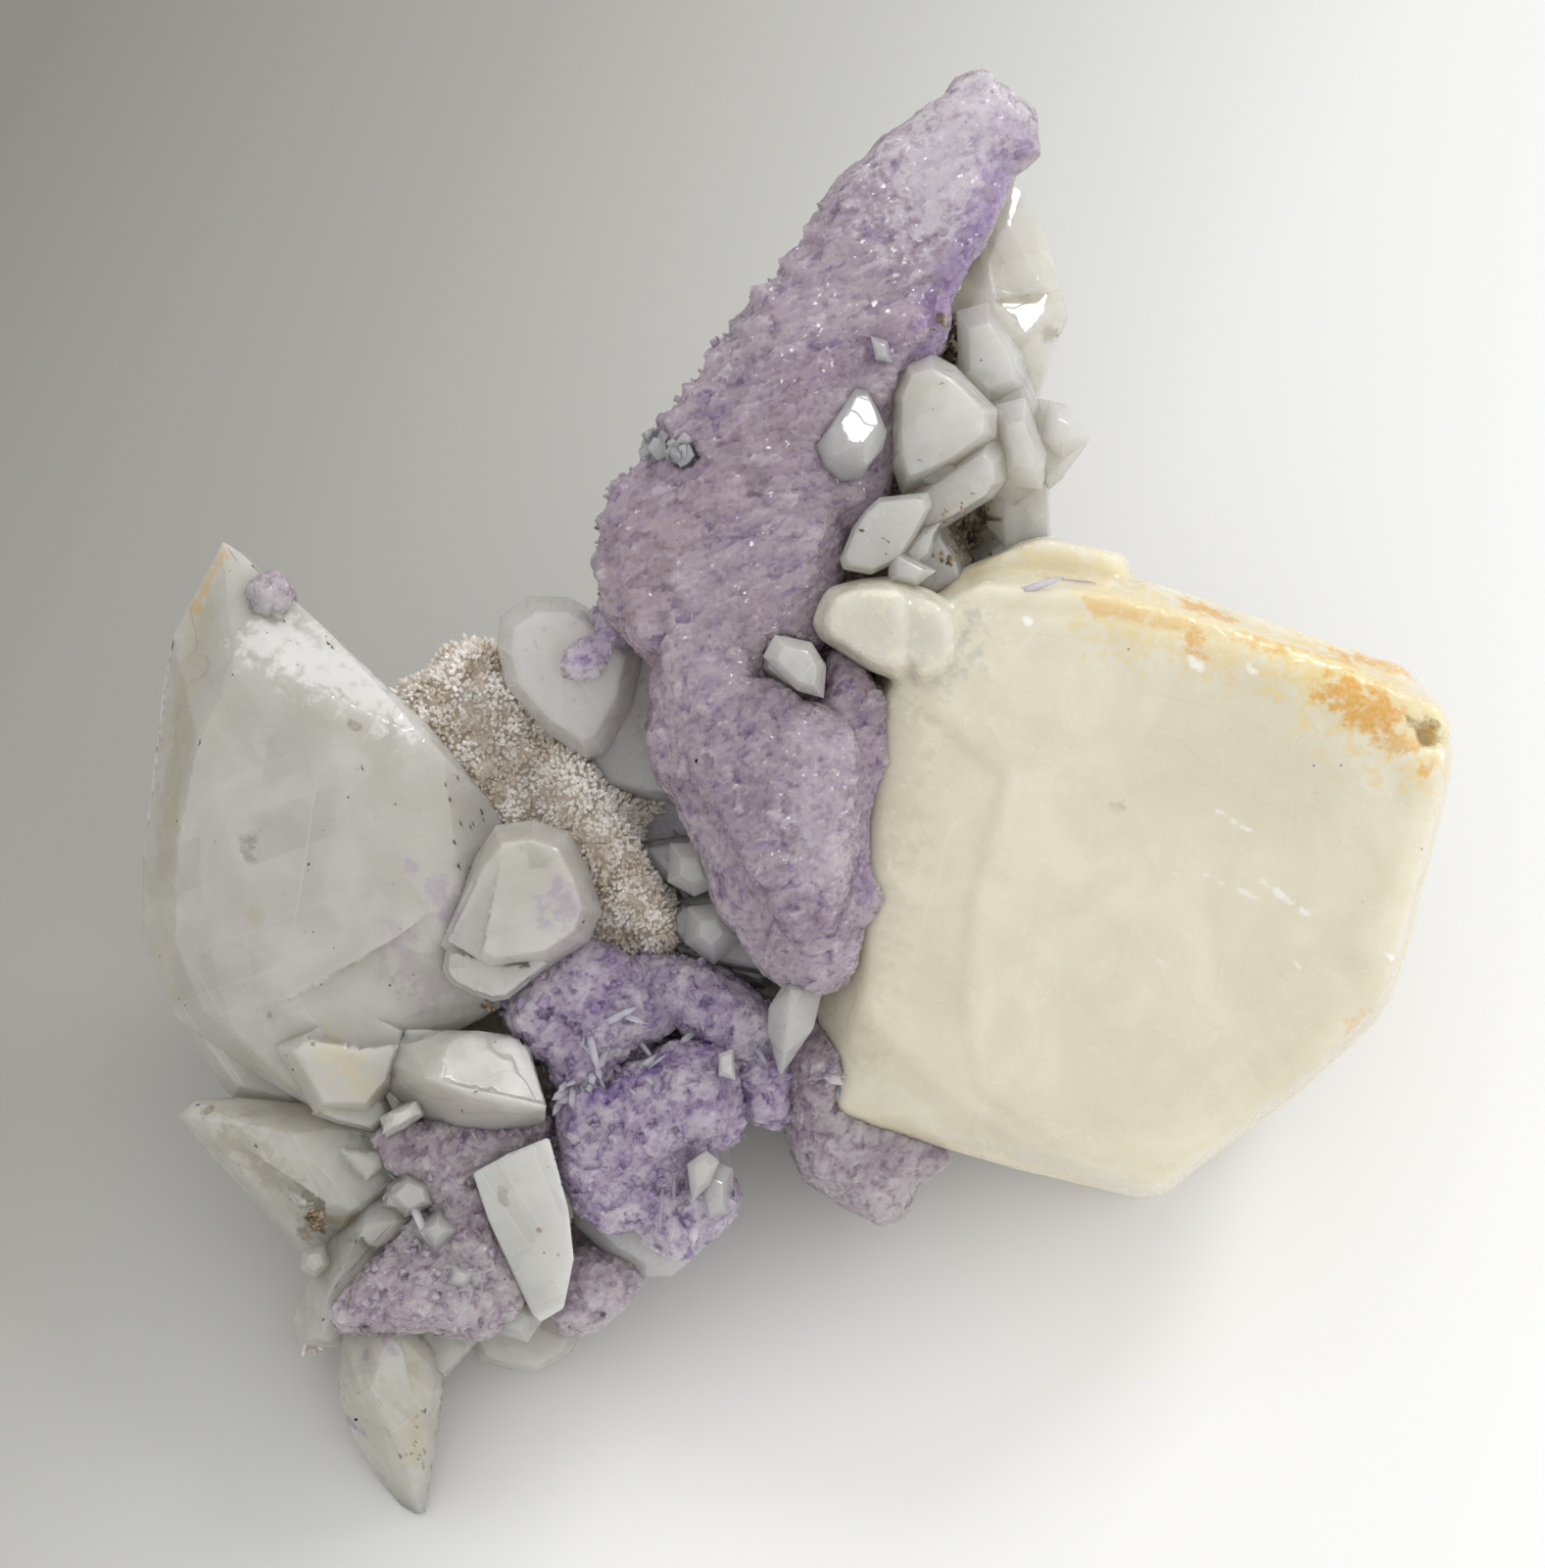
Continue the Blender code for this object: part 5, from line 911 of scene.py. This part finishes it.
# %% The violet crusts
crust_finish = fluorite("etched fluorite, violet", (0.76, 0.68, 0.79), (0.50, 0.39, 0.58), (0.18, 0.10, 0.32), [
    (-14.0, -25.5, -10.0, -23.5, 1.2, (0.24, 0.13, 0.46), 0.8), (-10.0, -23.5, -5.0, -21.8, 1.2, (0.24, 0.13, 0.46), 0.8),
    (-9.6, -37.7, -8.0, -38.4, 0.4, (0.16, 0.08, 0.50), 0.9), (-13.5, -26.5, -13.5, -26.5, 0.7, (0.14, 0.07, 0.30), 0.8),
    (-16.3, -28.0, -16.3, -28.0, 0.7, (0.14, 0.07, 0.30), 0.8), (-5.5, -18.0, -5.5, -18.0, 0.7, (0.10, 0.05, 0.20), 0.9),
    (-19.0, -18.6, -16.0, -19.2, 0.9, (0.10, 0.05, 0.20), 0.7), (-10.2, -17.5, -10.2, -20.5, 0.7, (0.10, 0.05, 0.2), 0.7),
])
for piece, source, seed in [("fluorite_crust_etched", "fluorite_crust", 2.0), ("fluorite_centre_etched", "fluorite_centre", 3.0),
                            ("fluorite_tuft_etched", "fluorite_tuft", 8.0)]:
    mesh = etched_mesh(piece, [source], voxel=0.26, relief=0.38, size=1.2, fatten=0.4, seed=seed)
    add_piece(piece, mesh, crust_finish, [source])

# %% The mauve masses
mauve_finish = fluorite("etched fluorite, mauve", (0.66, 0.59, 0.63), (0.49, 0.40, 0.46), (0.26, 0.17, 0.30), [
    (-25.2, -28.8, -25.4, -30.4, 0.8, (0.16, 0.07, 0.22), 0.8), (-24.0, -28.4, -18.4, -28.4, 0.9, VIOLET, 0.7),
    (-34.5, -42.5, -34.5, -42.5, 0.6, (0.14, 0.10, 0.14), 0.6), (-26.8, -31.5, -26.4, -31.2, 0.4, (0.40, 0.16, 0.12), 0.7),
    (2.6, -26.0, 2.8, -29.0, 0.8, (0.20, 0.10, 0.24), 0.6), (13.0, -30.0, 13.6, -30.0, 1.0, (0.20, 0.10, 0.24), 0.6),
])
for piece, source, seed in [("fluorite_band_etched", "fluorite_lower_left", 4.0), ("fluorite_lobe_etched", "fluorite_lobe", 5.0),
                            ("fluorite_lump_etched", "fluorite_base_lump", 6.0), ("fluorite_bump_etched", "fluorite_bump", 7.0)]:
    small = source == "fluorite_bump"
    mesh = etched_mesh(piece, [source], voxel=0.16 if small else 0.28, relief=0.1 if small else 0.34,
                       size=0.7 if small else 1.1, fatten=0.05 if small else 0.38, seed=seed)
    add_piece(piece, mesh, mauve_finish, [source])

# %% [markdown]
# ## Loose-looking grains on the crusts
#
# The crusts end in hundreds of glassy little crystals. A bevelled block about a millimetre long
# stands for one; each copy is turned and scaled at random and sinks halfway into its crust.


# %% Crystals on the crusts
def crust_grains(name, source, count, size, material, seed, limits=None):
    """Small glassy blocks on a crust, within limits of u and v when they are given."""
    draw = random.Random(seed)

    def wanted(place, normal):
        u, v, w = view_of(place)
        return limits is None or (limits[0] < u < limits[1] and limits[2] < v < limits[3])

    frames = []
    for place, normal in sprinkle(source, count, draw, wanted):
        long = draw.uniform(0.7, 1.5) * size
        frames.append(stand(place + normal * 0.02 * size * MM, leaning(normal, draw, 0.9), long,
                            long * draw.uniform(0.3, 0.8), draw.uniform(0.0, 3.0), long * draw.uniform(0.25, 0.5)))
    mesh = many(name, block_shape(), frames)
    bm = bmesh.new()
    bm.from_mesh(mesh)
    keep_in_box(bm)
    bm.to_mesh(mesh)
    bm.free()
    return add_piece(name, mesh, material)


pieces = bpy.data.meshes
glassy_violet = fluorite("glassy fluorite, violet", (0.62, 0.56, 0.68), (0.44, 0.34, 0.54), (0.24, 0.14, 0.40),
                         clear=0.3, rough=0.07, scatter=0.002)
glassy_mauve = fluorite("glassy fluorite, mauve", (0.74, 0.68, 0.73), (0.58, 0.49, 0.58), (0.36, 0.26, 0.44),
                        clear=0.3, rough=0.07, scatter=0.002)
crust_grains("fluorite_crust_grains", pieces["fluorite_crust_etched"], 420, 1.0, glassy_violet, 21)
crust_grains("fluorite_centre_grains", pieces["fluorite_centre_etched"], 420, 1.1, glassy_violet, 22)
crust_grains("fluorite_band_grains", pieces["fluorite_band_etched"], 480, 1.0, glassy_mauve, 23)
crust_grains("fluorite_lump_grains", pieces["fluorite_lump_etched"], 160, 0.7, glassy_mauve, 24)
crust_grains("fluorite_lobe_grains", pieces["fluorite_lobe_etched"], 60, 0.9, glassy_mauve, 25)
crust_grains("fluorite_blade_grains", pieces["fluorite_blade_etched"], 900, 0.5, glassy_mauve, 26)
crust_grains("quartz_edge_grains", pieces["quartz_edge_pair"], 90, 1.1, gem_finish, 27)

# %% [markdown]
# ## More small calcites
#
# Between the larger calcites sit small ones that the solids leave out. Each is the convex hull of
# an outline from the front view and a smaller face before it, with its edges bevelled.


# %% Small calcites by their outlines
def outline_crystals(name, crystals):
    """Crystals given as outline, back depth, rim depth, front depth and the size of the front face."""
    whole = bmesh.new()
    for outline, back, rim, front, face in crystals:
        cu = sum(u for u, v in outline) / len(outline)
        cv = sum(v for u, v in outline) / len(outline)
        bm = bmesh.new()
        for size, depth in [(0.8, back), (1.0, rim), (face, front)]:
            for u, v in outline:
                bmesh.ops.create_vert(bm, co=seen(cu + (u - cu) * size, cv + (v - cv) * size, depth))
        hull = bmesh.ops.convex_hull(bm, input=bm.verts)
        inner = {item for item in hull["geom_interior"] + hull["geom_unused"] if isinstance(item, bmesh.types.BMVert)}
        bmesh.ops.delete(bm, geom=sorted(inner, key=lambda vert: vert.index), context="VERTS")
        bmesh.ops.dissolve_limit(bm, angle_limit=math.radians(1.0), verts=bm.verts, edges=bm.edges)
        bmesh.ops.recalc_face_normals(bm, faces=bm.faces)
        bmesh.ops.bevel(bm, geom=bm.edges[:], offset=0.07 * MM, offset_type="OFFSET", segments=1, profile=0.5,
                        affect="EDGES", clamp_overlap=True, material=-1)
        part = mesh_from(bm, "part")
        whole.from_mesh(part)
        bpy.data.meshes.remove(part)
    keep_in_box(whole)
    return mesh_from(whole, name)


upper_fill = [
    ([(15.0, 38.6), (17.6, 39.4), (20.4, 35.0), (20.8, 32.0), (17.6, 30.6), (15.2, 33.0)], -2.0, 1.5, 4.4, 0.62),
    ([(11.6, 24.6), (14.6, 23.6), (16.6, 25.6), (14.0, 26.6), (11.0, 26.0)], 4.0, 6.6, 8.0, 0.7),
    ([(12.4, 20.8), (13.8, 21.4), (13.0, 18.6), (11.2, 17.2), (10.6, 18.8)], 6.0, 8.6, 10.4, 0.6),
    ([(18.2, 31.0), (20.6, 31.6), (22.4, 27.0), (22.0, 24.0), (19.0, 24.4)], 2.0, 4.4, 6.6, 0.5),
    ([(22.6, 31.4), (24.6, 30.4), (25.9, 28.1), (23.8, 26.4), (22.0, 28.0)], 0.0, 2.6, 4.4, 0.4),
    ([(9.6, 19.4), (11.6, 18.2), (13.4, 17.4), (11.8, 16.2), (9.4, 16.6)], 8.0, 10.6, 12.2, 0.5),
    ([(8.0, 36.6), (9.4, 36.2), (9.8, 34.4), (8.4, 34.6)], 8.0, 9.4, 10.2, 0.5),
]
add_piece("calcite_upper_small", outline_crystals("calcite_upper_small", upper_fill), upper_finish,
          smooth=20)
lower_fill = [
    ([(-38.4, -38.0), (-36.6, -37.6), (-36.0, -39.4), (-37.4, -40.4), (-38.6, -39.6)], -3.0, -1.0, 1.0, 0.5),
    ([(-31.8, -33.6), (-30.0, -31.8), (-28.0, -32.6), (-27.6, -34.4), (-30.0, -35.4)], 0.0, 3.0, 5.2, 0.55),
    ([(-29.6, -36.4), (-27.2, -34.6), (-25.4, -36.4), (-27.6, -38.6)], 0.0, 3.4, 5.4, 0.3),
    ([(-31.9, -28.6), (-31.4, -26.8), (-29.2, -25.9), (-28.6, -26.9), (-30.6, -28.2)], 4.0, 6.6, 8.4, 0.5),
    ([(-26.8, -40.9), (-26.0, -39.3), (-24.3, -39.8), (-25.0, -41.2)], 2.0, 4.6, 5.8, 0.45),
    ([(-20.6, -41.8), (-18.6, -43.6), (-20.0, -45.6), (-23.4, -44.6), (-23.6, -42.6)], -2.0, 0.6, 2.4, 0.5),
]
add_piece("calcite_lower_small", outline_crystals("calcite_lower_small", lower_fill), lower_finish,
          smooth=20)
middle_fill = [
    ([(-9.6, -15.0), (-7.0, -14.0), (-4.2, -15.6), (-5.6, -18.4), (-9.0, -18.2)], -1.0, 1.6, 3.4, 0.5),
    ([(-8.4, -4.8), (-5.6, -4.8), (-4.4, -8.4), (-6.4, -9.2), (-8.6, -8.0)], 0.0, 2.4, 4.2, 0.45),
    ([(-7.0, -10.0), (-4.0, -9.6), (-2.4, -12.6), (-4.8, -14.8), (-7.2, -13.0)], 0.0, 2.2, 4.4, 0.4),
    ([(-5.0, -30.6), (-3.2, -31.4), (-3.4, -35.4), (-5.6, -36.8), (-6.4, -33.6)], 1.0, 4.4, 6.6, 0.45),
    ([(-7.0, -31.0), (-5.4, -29.9), (-4.3, -30.8), (-5.2, -32.8), (-6.6, -34.2)], 4.0, 7.4, 8.6, 0.5),
    ([(-4.4, -22.0), (-3.2, -21.6), (-3.0, -24.2), (-4.4, -23.8)], 6.0, 8.8, 9.8, 0.6),
    ([(0.2, 12.2), (3.2, 11.6), (4.4, 9.6), (4.2, 7.0), (2.0, 7.6), (-0.8, 10.4)], 9.0, 12.4, 14.2, 0.6),
]
add_piece("calcite_middle_small", outline_crystals("calcite_middle_small", middle_fill), pale_finish,
          smooth=20)

# %% [markdown]
# ## Needles and small crystals at known places
#
# Some small crystals are easy to find in the front view, so each is set by the two ends that the
# view shows, its width, and how far its free end stands out towards the viewer.


# %% Needles and points
def needle_frames(needles):
    """The matrices of needles given as u0, v0, u1, v1, width and rise of the far end."""
    frames = []
    for u0, v0, u1, v1, width, rise in needles:
        foot = touch(u0, v0) - TO_VIEWER * 0.25 * width * MM
        u, v, w = view_of(foot)
        end = seen(u1, v1, w + rise)
        frames.append(stand(foot, end - foot, (end - foot).length / MM, width, u0, width * 0.6))
    return frames


clear_needles = [
    (-12.0, -24.6, -9.4, -22.0, 1.1, 1.2), (-11.6, -24.8, -10.2, -29.0, 0.9, 1.0), (-10.6, -23.6, -8.6, -22.0, 0.7, 1.4),
    (-8.2, -30.4, -8.0, -35.6, 0.9, 1.2), (-7.2, -30.6, -6.6, -35.4, 0.8, 1.4), (-9.0, -32.0, -9.2, -36.6, 0.6, 1.0),
    (-5.0, -31.0, -3.8, -36.0, 1.7, 1.0), (-6.0, -30.4, -5.4, -34.0, 1.9, 0.9), (-6.2, -34.0, -6.6, -38.0, 1.5, 0.8),
    (-9.4, -35.4, -6.2, -37.8, 0.8, 1.2), (-16.8, -19.8, -14.0, -22.8, 1.3, 1.8), (-15.2, -19.4, -14.2, -23.6, 1.0, 1.4),
    (-16.4, -20.6, -15.4, -25.4, 1.1, 1.0), (-14.4, -20.0, -11.0, -18.2, 1.3, 1.4), (-13.4, -18.4, -10.2, -19.6, 1.2, 1.5),
    (-16.4, -24.0, -16.0, -27.0, 1.0, 0.8), (-4.6, -22.0, -3.4, -24.4, 1.3, 0.8), (-16.4, -16.0, -15.6, -17.4, 1.1, 0.8),
    (-17.4, -17.2, -16.8, -18.4, 0.8, 0.8), (-31.8, -28.6, -28.8, -26.0, 1.9, 0.8), (-29.6, -34.0, -28.0, -37.6, 1.8, 1.2),
    (-28.4, -34.6, -26.4, -37.0, 1.6, 1.4), (-31.6, -34.2, -28.6, -32.0, 1.6, 1.0), (-30.4, -36.0, -27.2, -38.6, 1.5, 1.0),
    (-26.6, -40.6, -24.4, -39.6, 1.4, 0.8), (-25.6, -38.8, -23.4, -41.2, 1.2, 0.8), (-1.2, -22.6, 0.0, -26.0, 0.8, 0.6),
    (-2.2, -20.4, -0.4, -23.0, 0.9, 0.7), (-9.6, -5.4, -7.2, -8.2, 1.5, 0.9), (-8.2, -3.8, -6.0, -7.0, 1.3, 0.8),
    (-7.4, -8.6, -5.2, -11.6, 1.5, 0.9), (-10.4, -6.6, -8.4, -10.6, 1.1, 0.8), (-6.6, -12.0, -4.6, -14.6, 1.5, 0.8),
    (-37.6, -38.0, -36.6, -40.2, 1.4, 0.8), (3.4, -22.8, 5.8, -24.6, 1.7, 0.9),
    (24.0, 15.8, 28.6, 14.8, 1.2, 0.4), (22.0, 16.6, 27.0, 16.2, 1.0, 0.4), (19.6, 15.4, 24.0, 17.0, 1.0, 0.4),
]
draw = random.Random(31)
violet_needles = []
arc = [(-17.4, -26.0), (-15.6, -23.8), (-13.0, -22.4), (-10.0, -21.4), (-7.0, -21.0), (-4.6, -21.6)]
for (u0, v0), (u1, v1) in zip(arc, arc[1:]):
    for _ in range(9):
        part, turn, long = draw.random(), draw.uniform(3.4, 5.6), draw.uniform(1.4, 2.6)
        u, v = u0 + (u1 - u0) * part + draw.gauss(0.0, 0.4), v0 + (v1 - v0) * part + draw.gauss(0.0, 0.5)
        clear_needles.append((u, v, u + math.cos(turn) * long, v + math.sin(turn) * long,
                              draw.uniform(0.8, 1.5), draw.uniform(1.0, 2.4)))
crust_faces = bmesh.new()
for piece in ["fluorite_crust_etched", "fluorite_centre_etched", "fluorite_band_etched", "fluorite_lump_etched"]:
    crust_faces.from_mesh(pieces[piece])
crust_tree = BVHTree.FromBMesh(crust_faces)
crust_faces.free()
for u, v, count, spread in [(-14.0, -20.5, 46, 3.4), (-4.5, -18.5, 40, 3.6), (-8.5, -27.0, 44, 4.2), (-28.0, -36.0, 44, 4.0),
                            (-27.0, -42.5, 36, 4.2), (-7.0, -34.0, 26, 2.6), (-1.0, -22.5, 22, 2.2), (-9.0, -7.5, 26, 3.4),
                            (5.0, -23.6, 14, 1.6), (-24.0, -28.5, 20, 3.0)]:
    for _ in range(count):
        u0, v0 = u + draw.gauss(0.0, spread / 2), v + draw.gauss(0.0, spread / 2)
        turn, long = draw.uniform(0.0, 2 * math.pi), draw.uniform(0.8, 1.9)
        needle = (u0, v0, u0 + math.cos(turn) * long, v0 + math.sin(turn) * long,
                  draw.uniform(0.3, 0.65), draw.uniform(0.2, 1.0))
        if crust_tree.find_nearest(touch(u0, v0))[3] < 0.9 * MM:
            (clear_needles if draw.random() < 0.25 else violet_needles).append(needle)
needle_finish = calcite("clear needles", (0.88, 0.84, 0.92), (0.72, 0.64, 0.80), clear=0.3, rough=0.04, line_depth=0.01,
                        plates=0.01, scatter=0.002, purple=0.12)
slim = [(*needle[:4], needle[4] * 0.75, needle[5] * 0.6) for needle in clear_needles]
needle_mesh = many("clear_needles", prism_shape(tip=0.35), needle_frames(slim))
add_piece("clear_needles", needle_mesh, needle_finish)
violet_mesh = many("violet_needles", block_shape(), needle_frames(violet_needles))
add_piece("violet_needles", violet_mesh, glassy_violet)

# %% [markdown]
# ## The rock and its skin of quartz

# %% The rock
rock_finish, tree, shader, vector = new_material("grey brown rock")
lumps = remap(tree, fractal(tree, vector, 4.0, 6.0, 0.65), 0.35, 0.66)
colour = blend(tree, lumps, (0.42, 0.34, 0.25), (0.62, 0.56, 0.48))
colour = blend(tree, remap(tree, fractal(tree, vector, 0.6, 3.0), 0.5, 0.7, 0.0, 0.6), colour, (0.62, 0.58, 0.52))
tree.links.new(colour, shader.inputs["Base Color"])
shader.inputs["Roughness"].default_value = 0.85
bump = node(tree, "Bump", {"Height": fractal(tree, vector, 0.7, 5.0), "Strength": 0.8, "Distance": 0.25 * MM})
tree.links.new(bump.outputs[0], shader.inputs["Normal"])
rock_mesh = etched_mesh("rock_body", ["matrix_rock"], voxel=0.55, relief=0.35, size=2.4, fatten=0.3, seed=9.0)
rock = add_piece("rock_body", rock_mesh, rock_finish, ["matrix_rock"])

# %% Its skin of quartz
quartz_finish, tree, shader, vector = new_material("fine quartz")
shade = remap(tree, fractal(tree, vector, 2.2, 4.0), 0.38, 0.64)
colour = blend(tree, shade, (0.66, 0.58, 0.49), (0.92, 0.89, 0.85))
# The two near-black patches in the hollow by the upper calcites are partly the dark brown rock and partly painted shade
# in that deep hollow; the rest are stains and a pale ridge.
colour = patched(tree, vector, colour, [
    (14.2, 21.3, 17.0, 22.6, 2.0, (0.16, 0.11, 0.06), 0.9), (16.0, 19.4, 18.0, 21.4, 2.0, (0.16, 0.11, 0.06), 0.9),
    (-16.0, 0.5, -8.0, -11.5, 2.8, (0.97, 0.95, 0.91), 1.0), (-14.0, -8.5, -9.5, -14.4, 1.4, (0.46, 0.34, 0.22), 0.8),
    (-26.0, 10.4, -24.6, 9.6, 1.2, (0.42, 0.31, 0.20), 0.7), (-29.0, 7.2, -28.0, 6.8, 0.9, (0.46, 0.34, 0.22), 0.6),
    (-20.5, 4.5, -14.5, 0.4, 0.9, (0.50, 0.40, 0.30), 0.6), (-24.4, 6.0, -19.0, -1.0, 3.0, (0.50, 0.46, 0.41), 0.5)])
tree.links.new(colour, shader.inputs["Base Color"])
shader.inputs["Roughness"].default_value = 0.12
shader.inputs["IOR"].default_value = 1.54


def on_slab(place, normal):
    """Whether a place is on the rock's slab in the front view."""
    u, v, w = view_of(place)
    return -34.0 < u < -5.0 and -17.0 < v < 14.0 and w > -6.0 and normal.dot(Vector((0.0, -COS, SIN))) > 0.1


draw = random.Random(11)
frames = [stand(place - normal * 0.1 * MM, leaning(normal, draw, 0.5), draw.uniform(0.4, 0.85),
                draw.uniform(0.28, 0.5), draw.uniform(0.0, 3.0))
          for place, normal in sprinkle(rock_mesh, 6500, draw, on_slab)]
add_piece("quartz_druse_front", many("quartz_druse_front", prism_shape(), frames), quartz_finish)


brown_and_shade_finish, tree, shader, vector = new_material("iron brown quartz and painted shade")
tone = remap(tree, fractal(tree, vector, 0.9, 4.0), 0.36, 0.62)
tree.links.new(blend(tree, tone, (0.13, 0.095, 0.055), (0.42, 0.34, 0.25)), shader.inputs["Base Color"])
shader.inputs["Roughness"].default_value = 0.25
# The dark brown prisms in the hollow by the upper calcites stand partly for the rock's dark brown and partly for
# painted shade in that deep hollow.
frames = []
for u, v, spread, count in [(14.2, 37.2, 1.2, 150), (14.0, 35.2, 0.8, 90), (16.2, 20.8, 1.7, 240), (15.0, 18.8, 1.0, 90),
                            (-37.2, -35.8, 0.7, 70), (-23.0, -18.0, 0.5, 20)]:
    for _ in range(count):
        place = touch(u + draw.gauss(0.0, spread / 2), v + draw.gauss(0.0, spread / 2))
        frames.append(stand(place, leaning(TO_VIEWER, draw, 0.9), draw.uniform(0.3, 0.8), draw.uniform(0.25, 0.5),
                            draw.uniform(0.0, 3.0)))
add_piece("quartz_brown_and_shade", many("quartz_brown_and_shade", prism_shape(), frames), brown_and_shade_finish)


def off_slab(place, normal):
    """Whether a place is on the rock, away from its slab and its base."""
    return place.z > 1.0 * MM and not on_slab(place, normal)


draw = random.Random(12)
frames = [stand(place - normal * 0.15 * MM, leaning(normal, draw, 0.6), draw.uniform(0.5, 1.3),
                draw.uniform(0.4, 0.9), draw.uniform(0.0, 3.0))
          for place, normal in sprinkle(rock_mesh, 7500, draw, off_slab)]
add_piece("quartz_druse_back", many("quartz_druse_back", prism_shape(), frames), quartz_finish)

# %% [markdown]
# ## Dust
#
# Dark specks of dust lie on every face. Each is a lump of a few flat faces, about a fifth of a
# millimetre across, pressed onto the crystal under it.

# %% Dust specks
dust_finish, tree, shader, vector = new_material("dark dust")
tone = remap(tree, fractal(tree, vector, 3.0), 0.4, 0.6)
tree.links.new(blend(tree, tone, (0.05, 0.04, 0.03), (0.22, 0.17, 0.12)), shader.inputs["Base Color"])
shader.inputs["Roughness"].default_value = 0.8
draw = random.Random(41)
frames = []
for source, count in [("calcite_right_crystal", 170), ("calcite_left_crystal", 130), ("fluorite_blade_etched", 220),
                      ("calcite_lower_points", 40), ("calcite_upper_group", 60), ("fluorite_crust_etched", 50),
                      ("fluorite_band_etched", 50), ("calcite_white_rhomb", 12), ("calcite_hollow_group", 24)]:
    for place, normal in sprinkle(pieces[source], count, draw):
        size = draw.choice([0.1, 0.12, 0.14, 0.16, 0.2, 0.3])
        frames.append(stand(place, leaning(normal, draw, 0.3), size * 0.6, size, draw.uniform(0.0, 3.0),
                            size * draw.uniform(0.5, 1.0)))
dust_mesh = many("dust_specks", fleck_shape(), frames)
settled = bmesh.new()
settled.from_mesh(dust_mesh)
keep_in_box(settled)
settled.to_mesh(dust_mesh)
settled.free()
add_piece("dust_specks", dust_mesh, dust_finish)

# %% [markdown]
# ## The floor and the light

# %% Floor, with painted light falloff and a painted pool of light
FLOOR_SIZE = 4.0
floor_mesh = bmesh.new()
bmesh.ops.create_grid(floor_mesh, x_segments=1, y_segments=1, size=FLOOR_SIZE / 2)
floor = bpy.data.objects.new("floor", mesh_from(floor_mesh, "floor"))
bpy.context.scene.collection.objects.link(floor)
floor_finish, tree, shader, vector = new_material("pale paper with painted light")
# The paper's colour is painted darker to the left and to the back and lighter to the right and front: painted light
# falloff across the floor.
parts = node(tree, "SeparateXYZ", {0: vector}).outputs
slope = calc(tree, "ADD", parts["X"], calc(tree, "MULTIPLY", parts["Y"], -0.48))
spread = node(tree, "MapRange", {"Value": slope, "From Min": -0.115, "From Max": 0.085}).outputs["Result"]
painted_falloff_ramp = node(tree, "ValToRGB", {"Fac": spread})
for place, tint in [(0.235, (0.375, 0.37, 0.345)), (0.4, (0.515, 0.515, 0.50)), (0.64, (0.76, 0.765, 0.76)),
                    (0.84, (0.84, 0.845, 0.845))]:
    painted_falloff_ramp.color_ramp.elements.new(place).color = (*tint, 1.0)
painted_falloff_ramp.color_ramp.elements[0].color = (0.25, 0.24, 0.22, 1.0)
painted_falloff_ramp.color_ramp.elements[-1].color = (0.89, 0.895, 0.895, 1.0)
# A pale patch under the specimen's lower side is a painted pool of light that lifts its shadow.
near = use_group(tree, patch_group, {"Vector": vector, "From": (-0.004, -0.050, 0.0), "To": (0.016, -0.040, 0.0),
                                     "Radius": 0.04, "Softness": 1.0, "Strength": 0.9})["Mask"]
tree.links.new(blend(tree, near, painted_falloff_ramp.outputs["Color"], (0.95, 0.95, 0.94)), shader.inputs["Base Color"])
shader.inputs["Roughness"].default_value = 0.9
shader.inputs["Specular IOR Level"].default_value = 0.1
floor.data.materials.append(floor_finish)

# %% Soft studio light
scene = bpy.context.scene


def softbox(name, place, size, power, colour=(1.0, 1.0, 1.0)):
    """A square lamp that faces the specimen."""
    lamp = bpy.data.lights.new(name, "AREA")
    lamp.size = size
    lamp.energy = power
    lamp.color = colour
    obj = bpy.data.objects.new(name, lamp)
    scene.collection.objects.link(obj)
    obj.location = place
    obj.rotation_euler = (Vector((0.0, 0.0, 0.025)) - Vector(place)).to_track_quat("-Z", "Y").to_euler()
    return obj


softbox("window", (0.34, 0.36, 0.46), 0.17, 1.1)
world = bpy.data.worlds.new("room")
scene.world = world
world.use_nodes = True
tree = world.node_tree
around = node(tree, "SeparateXYZ", {0: node(tree, "TexCoord").outputs["Generated"]}).outputs
side = remap(tree, around["X"], -1.0, 1.0, 0.86, 1.1)
tree.links.new(side, tree.nodes["Background"].inputs["Strength"])
tree.nodes["Background"].inputs["Color"].default_value = (0.99, 0.985, 0.97, 1.0)
scene.view_settings.view_transform = "Standard"
scene.view_settings.look = "None"
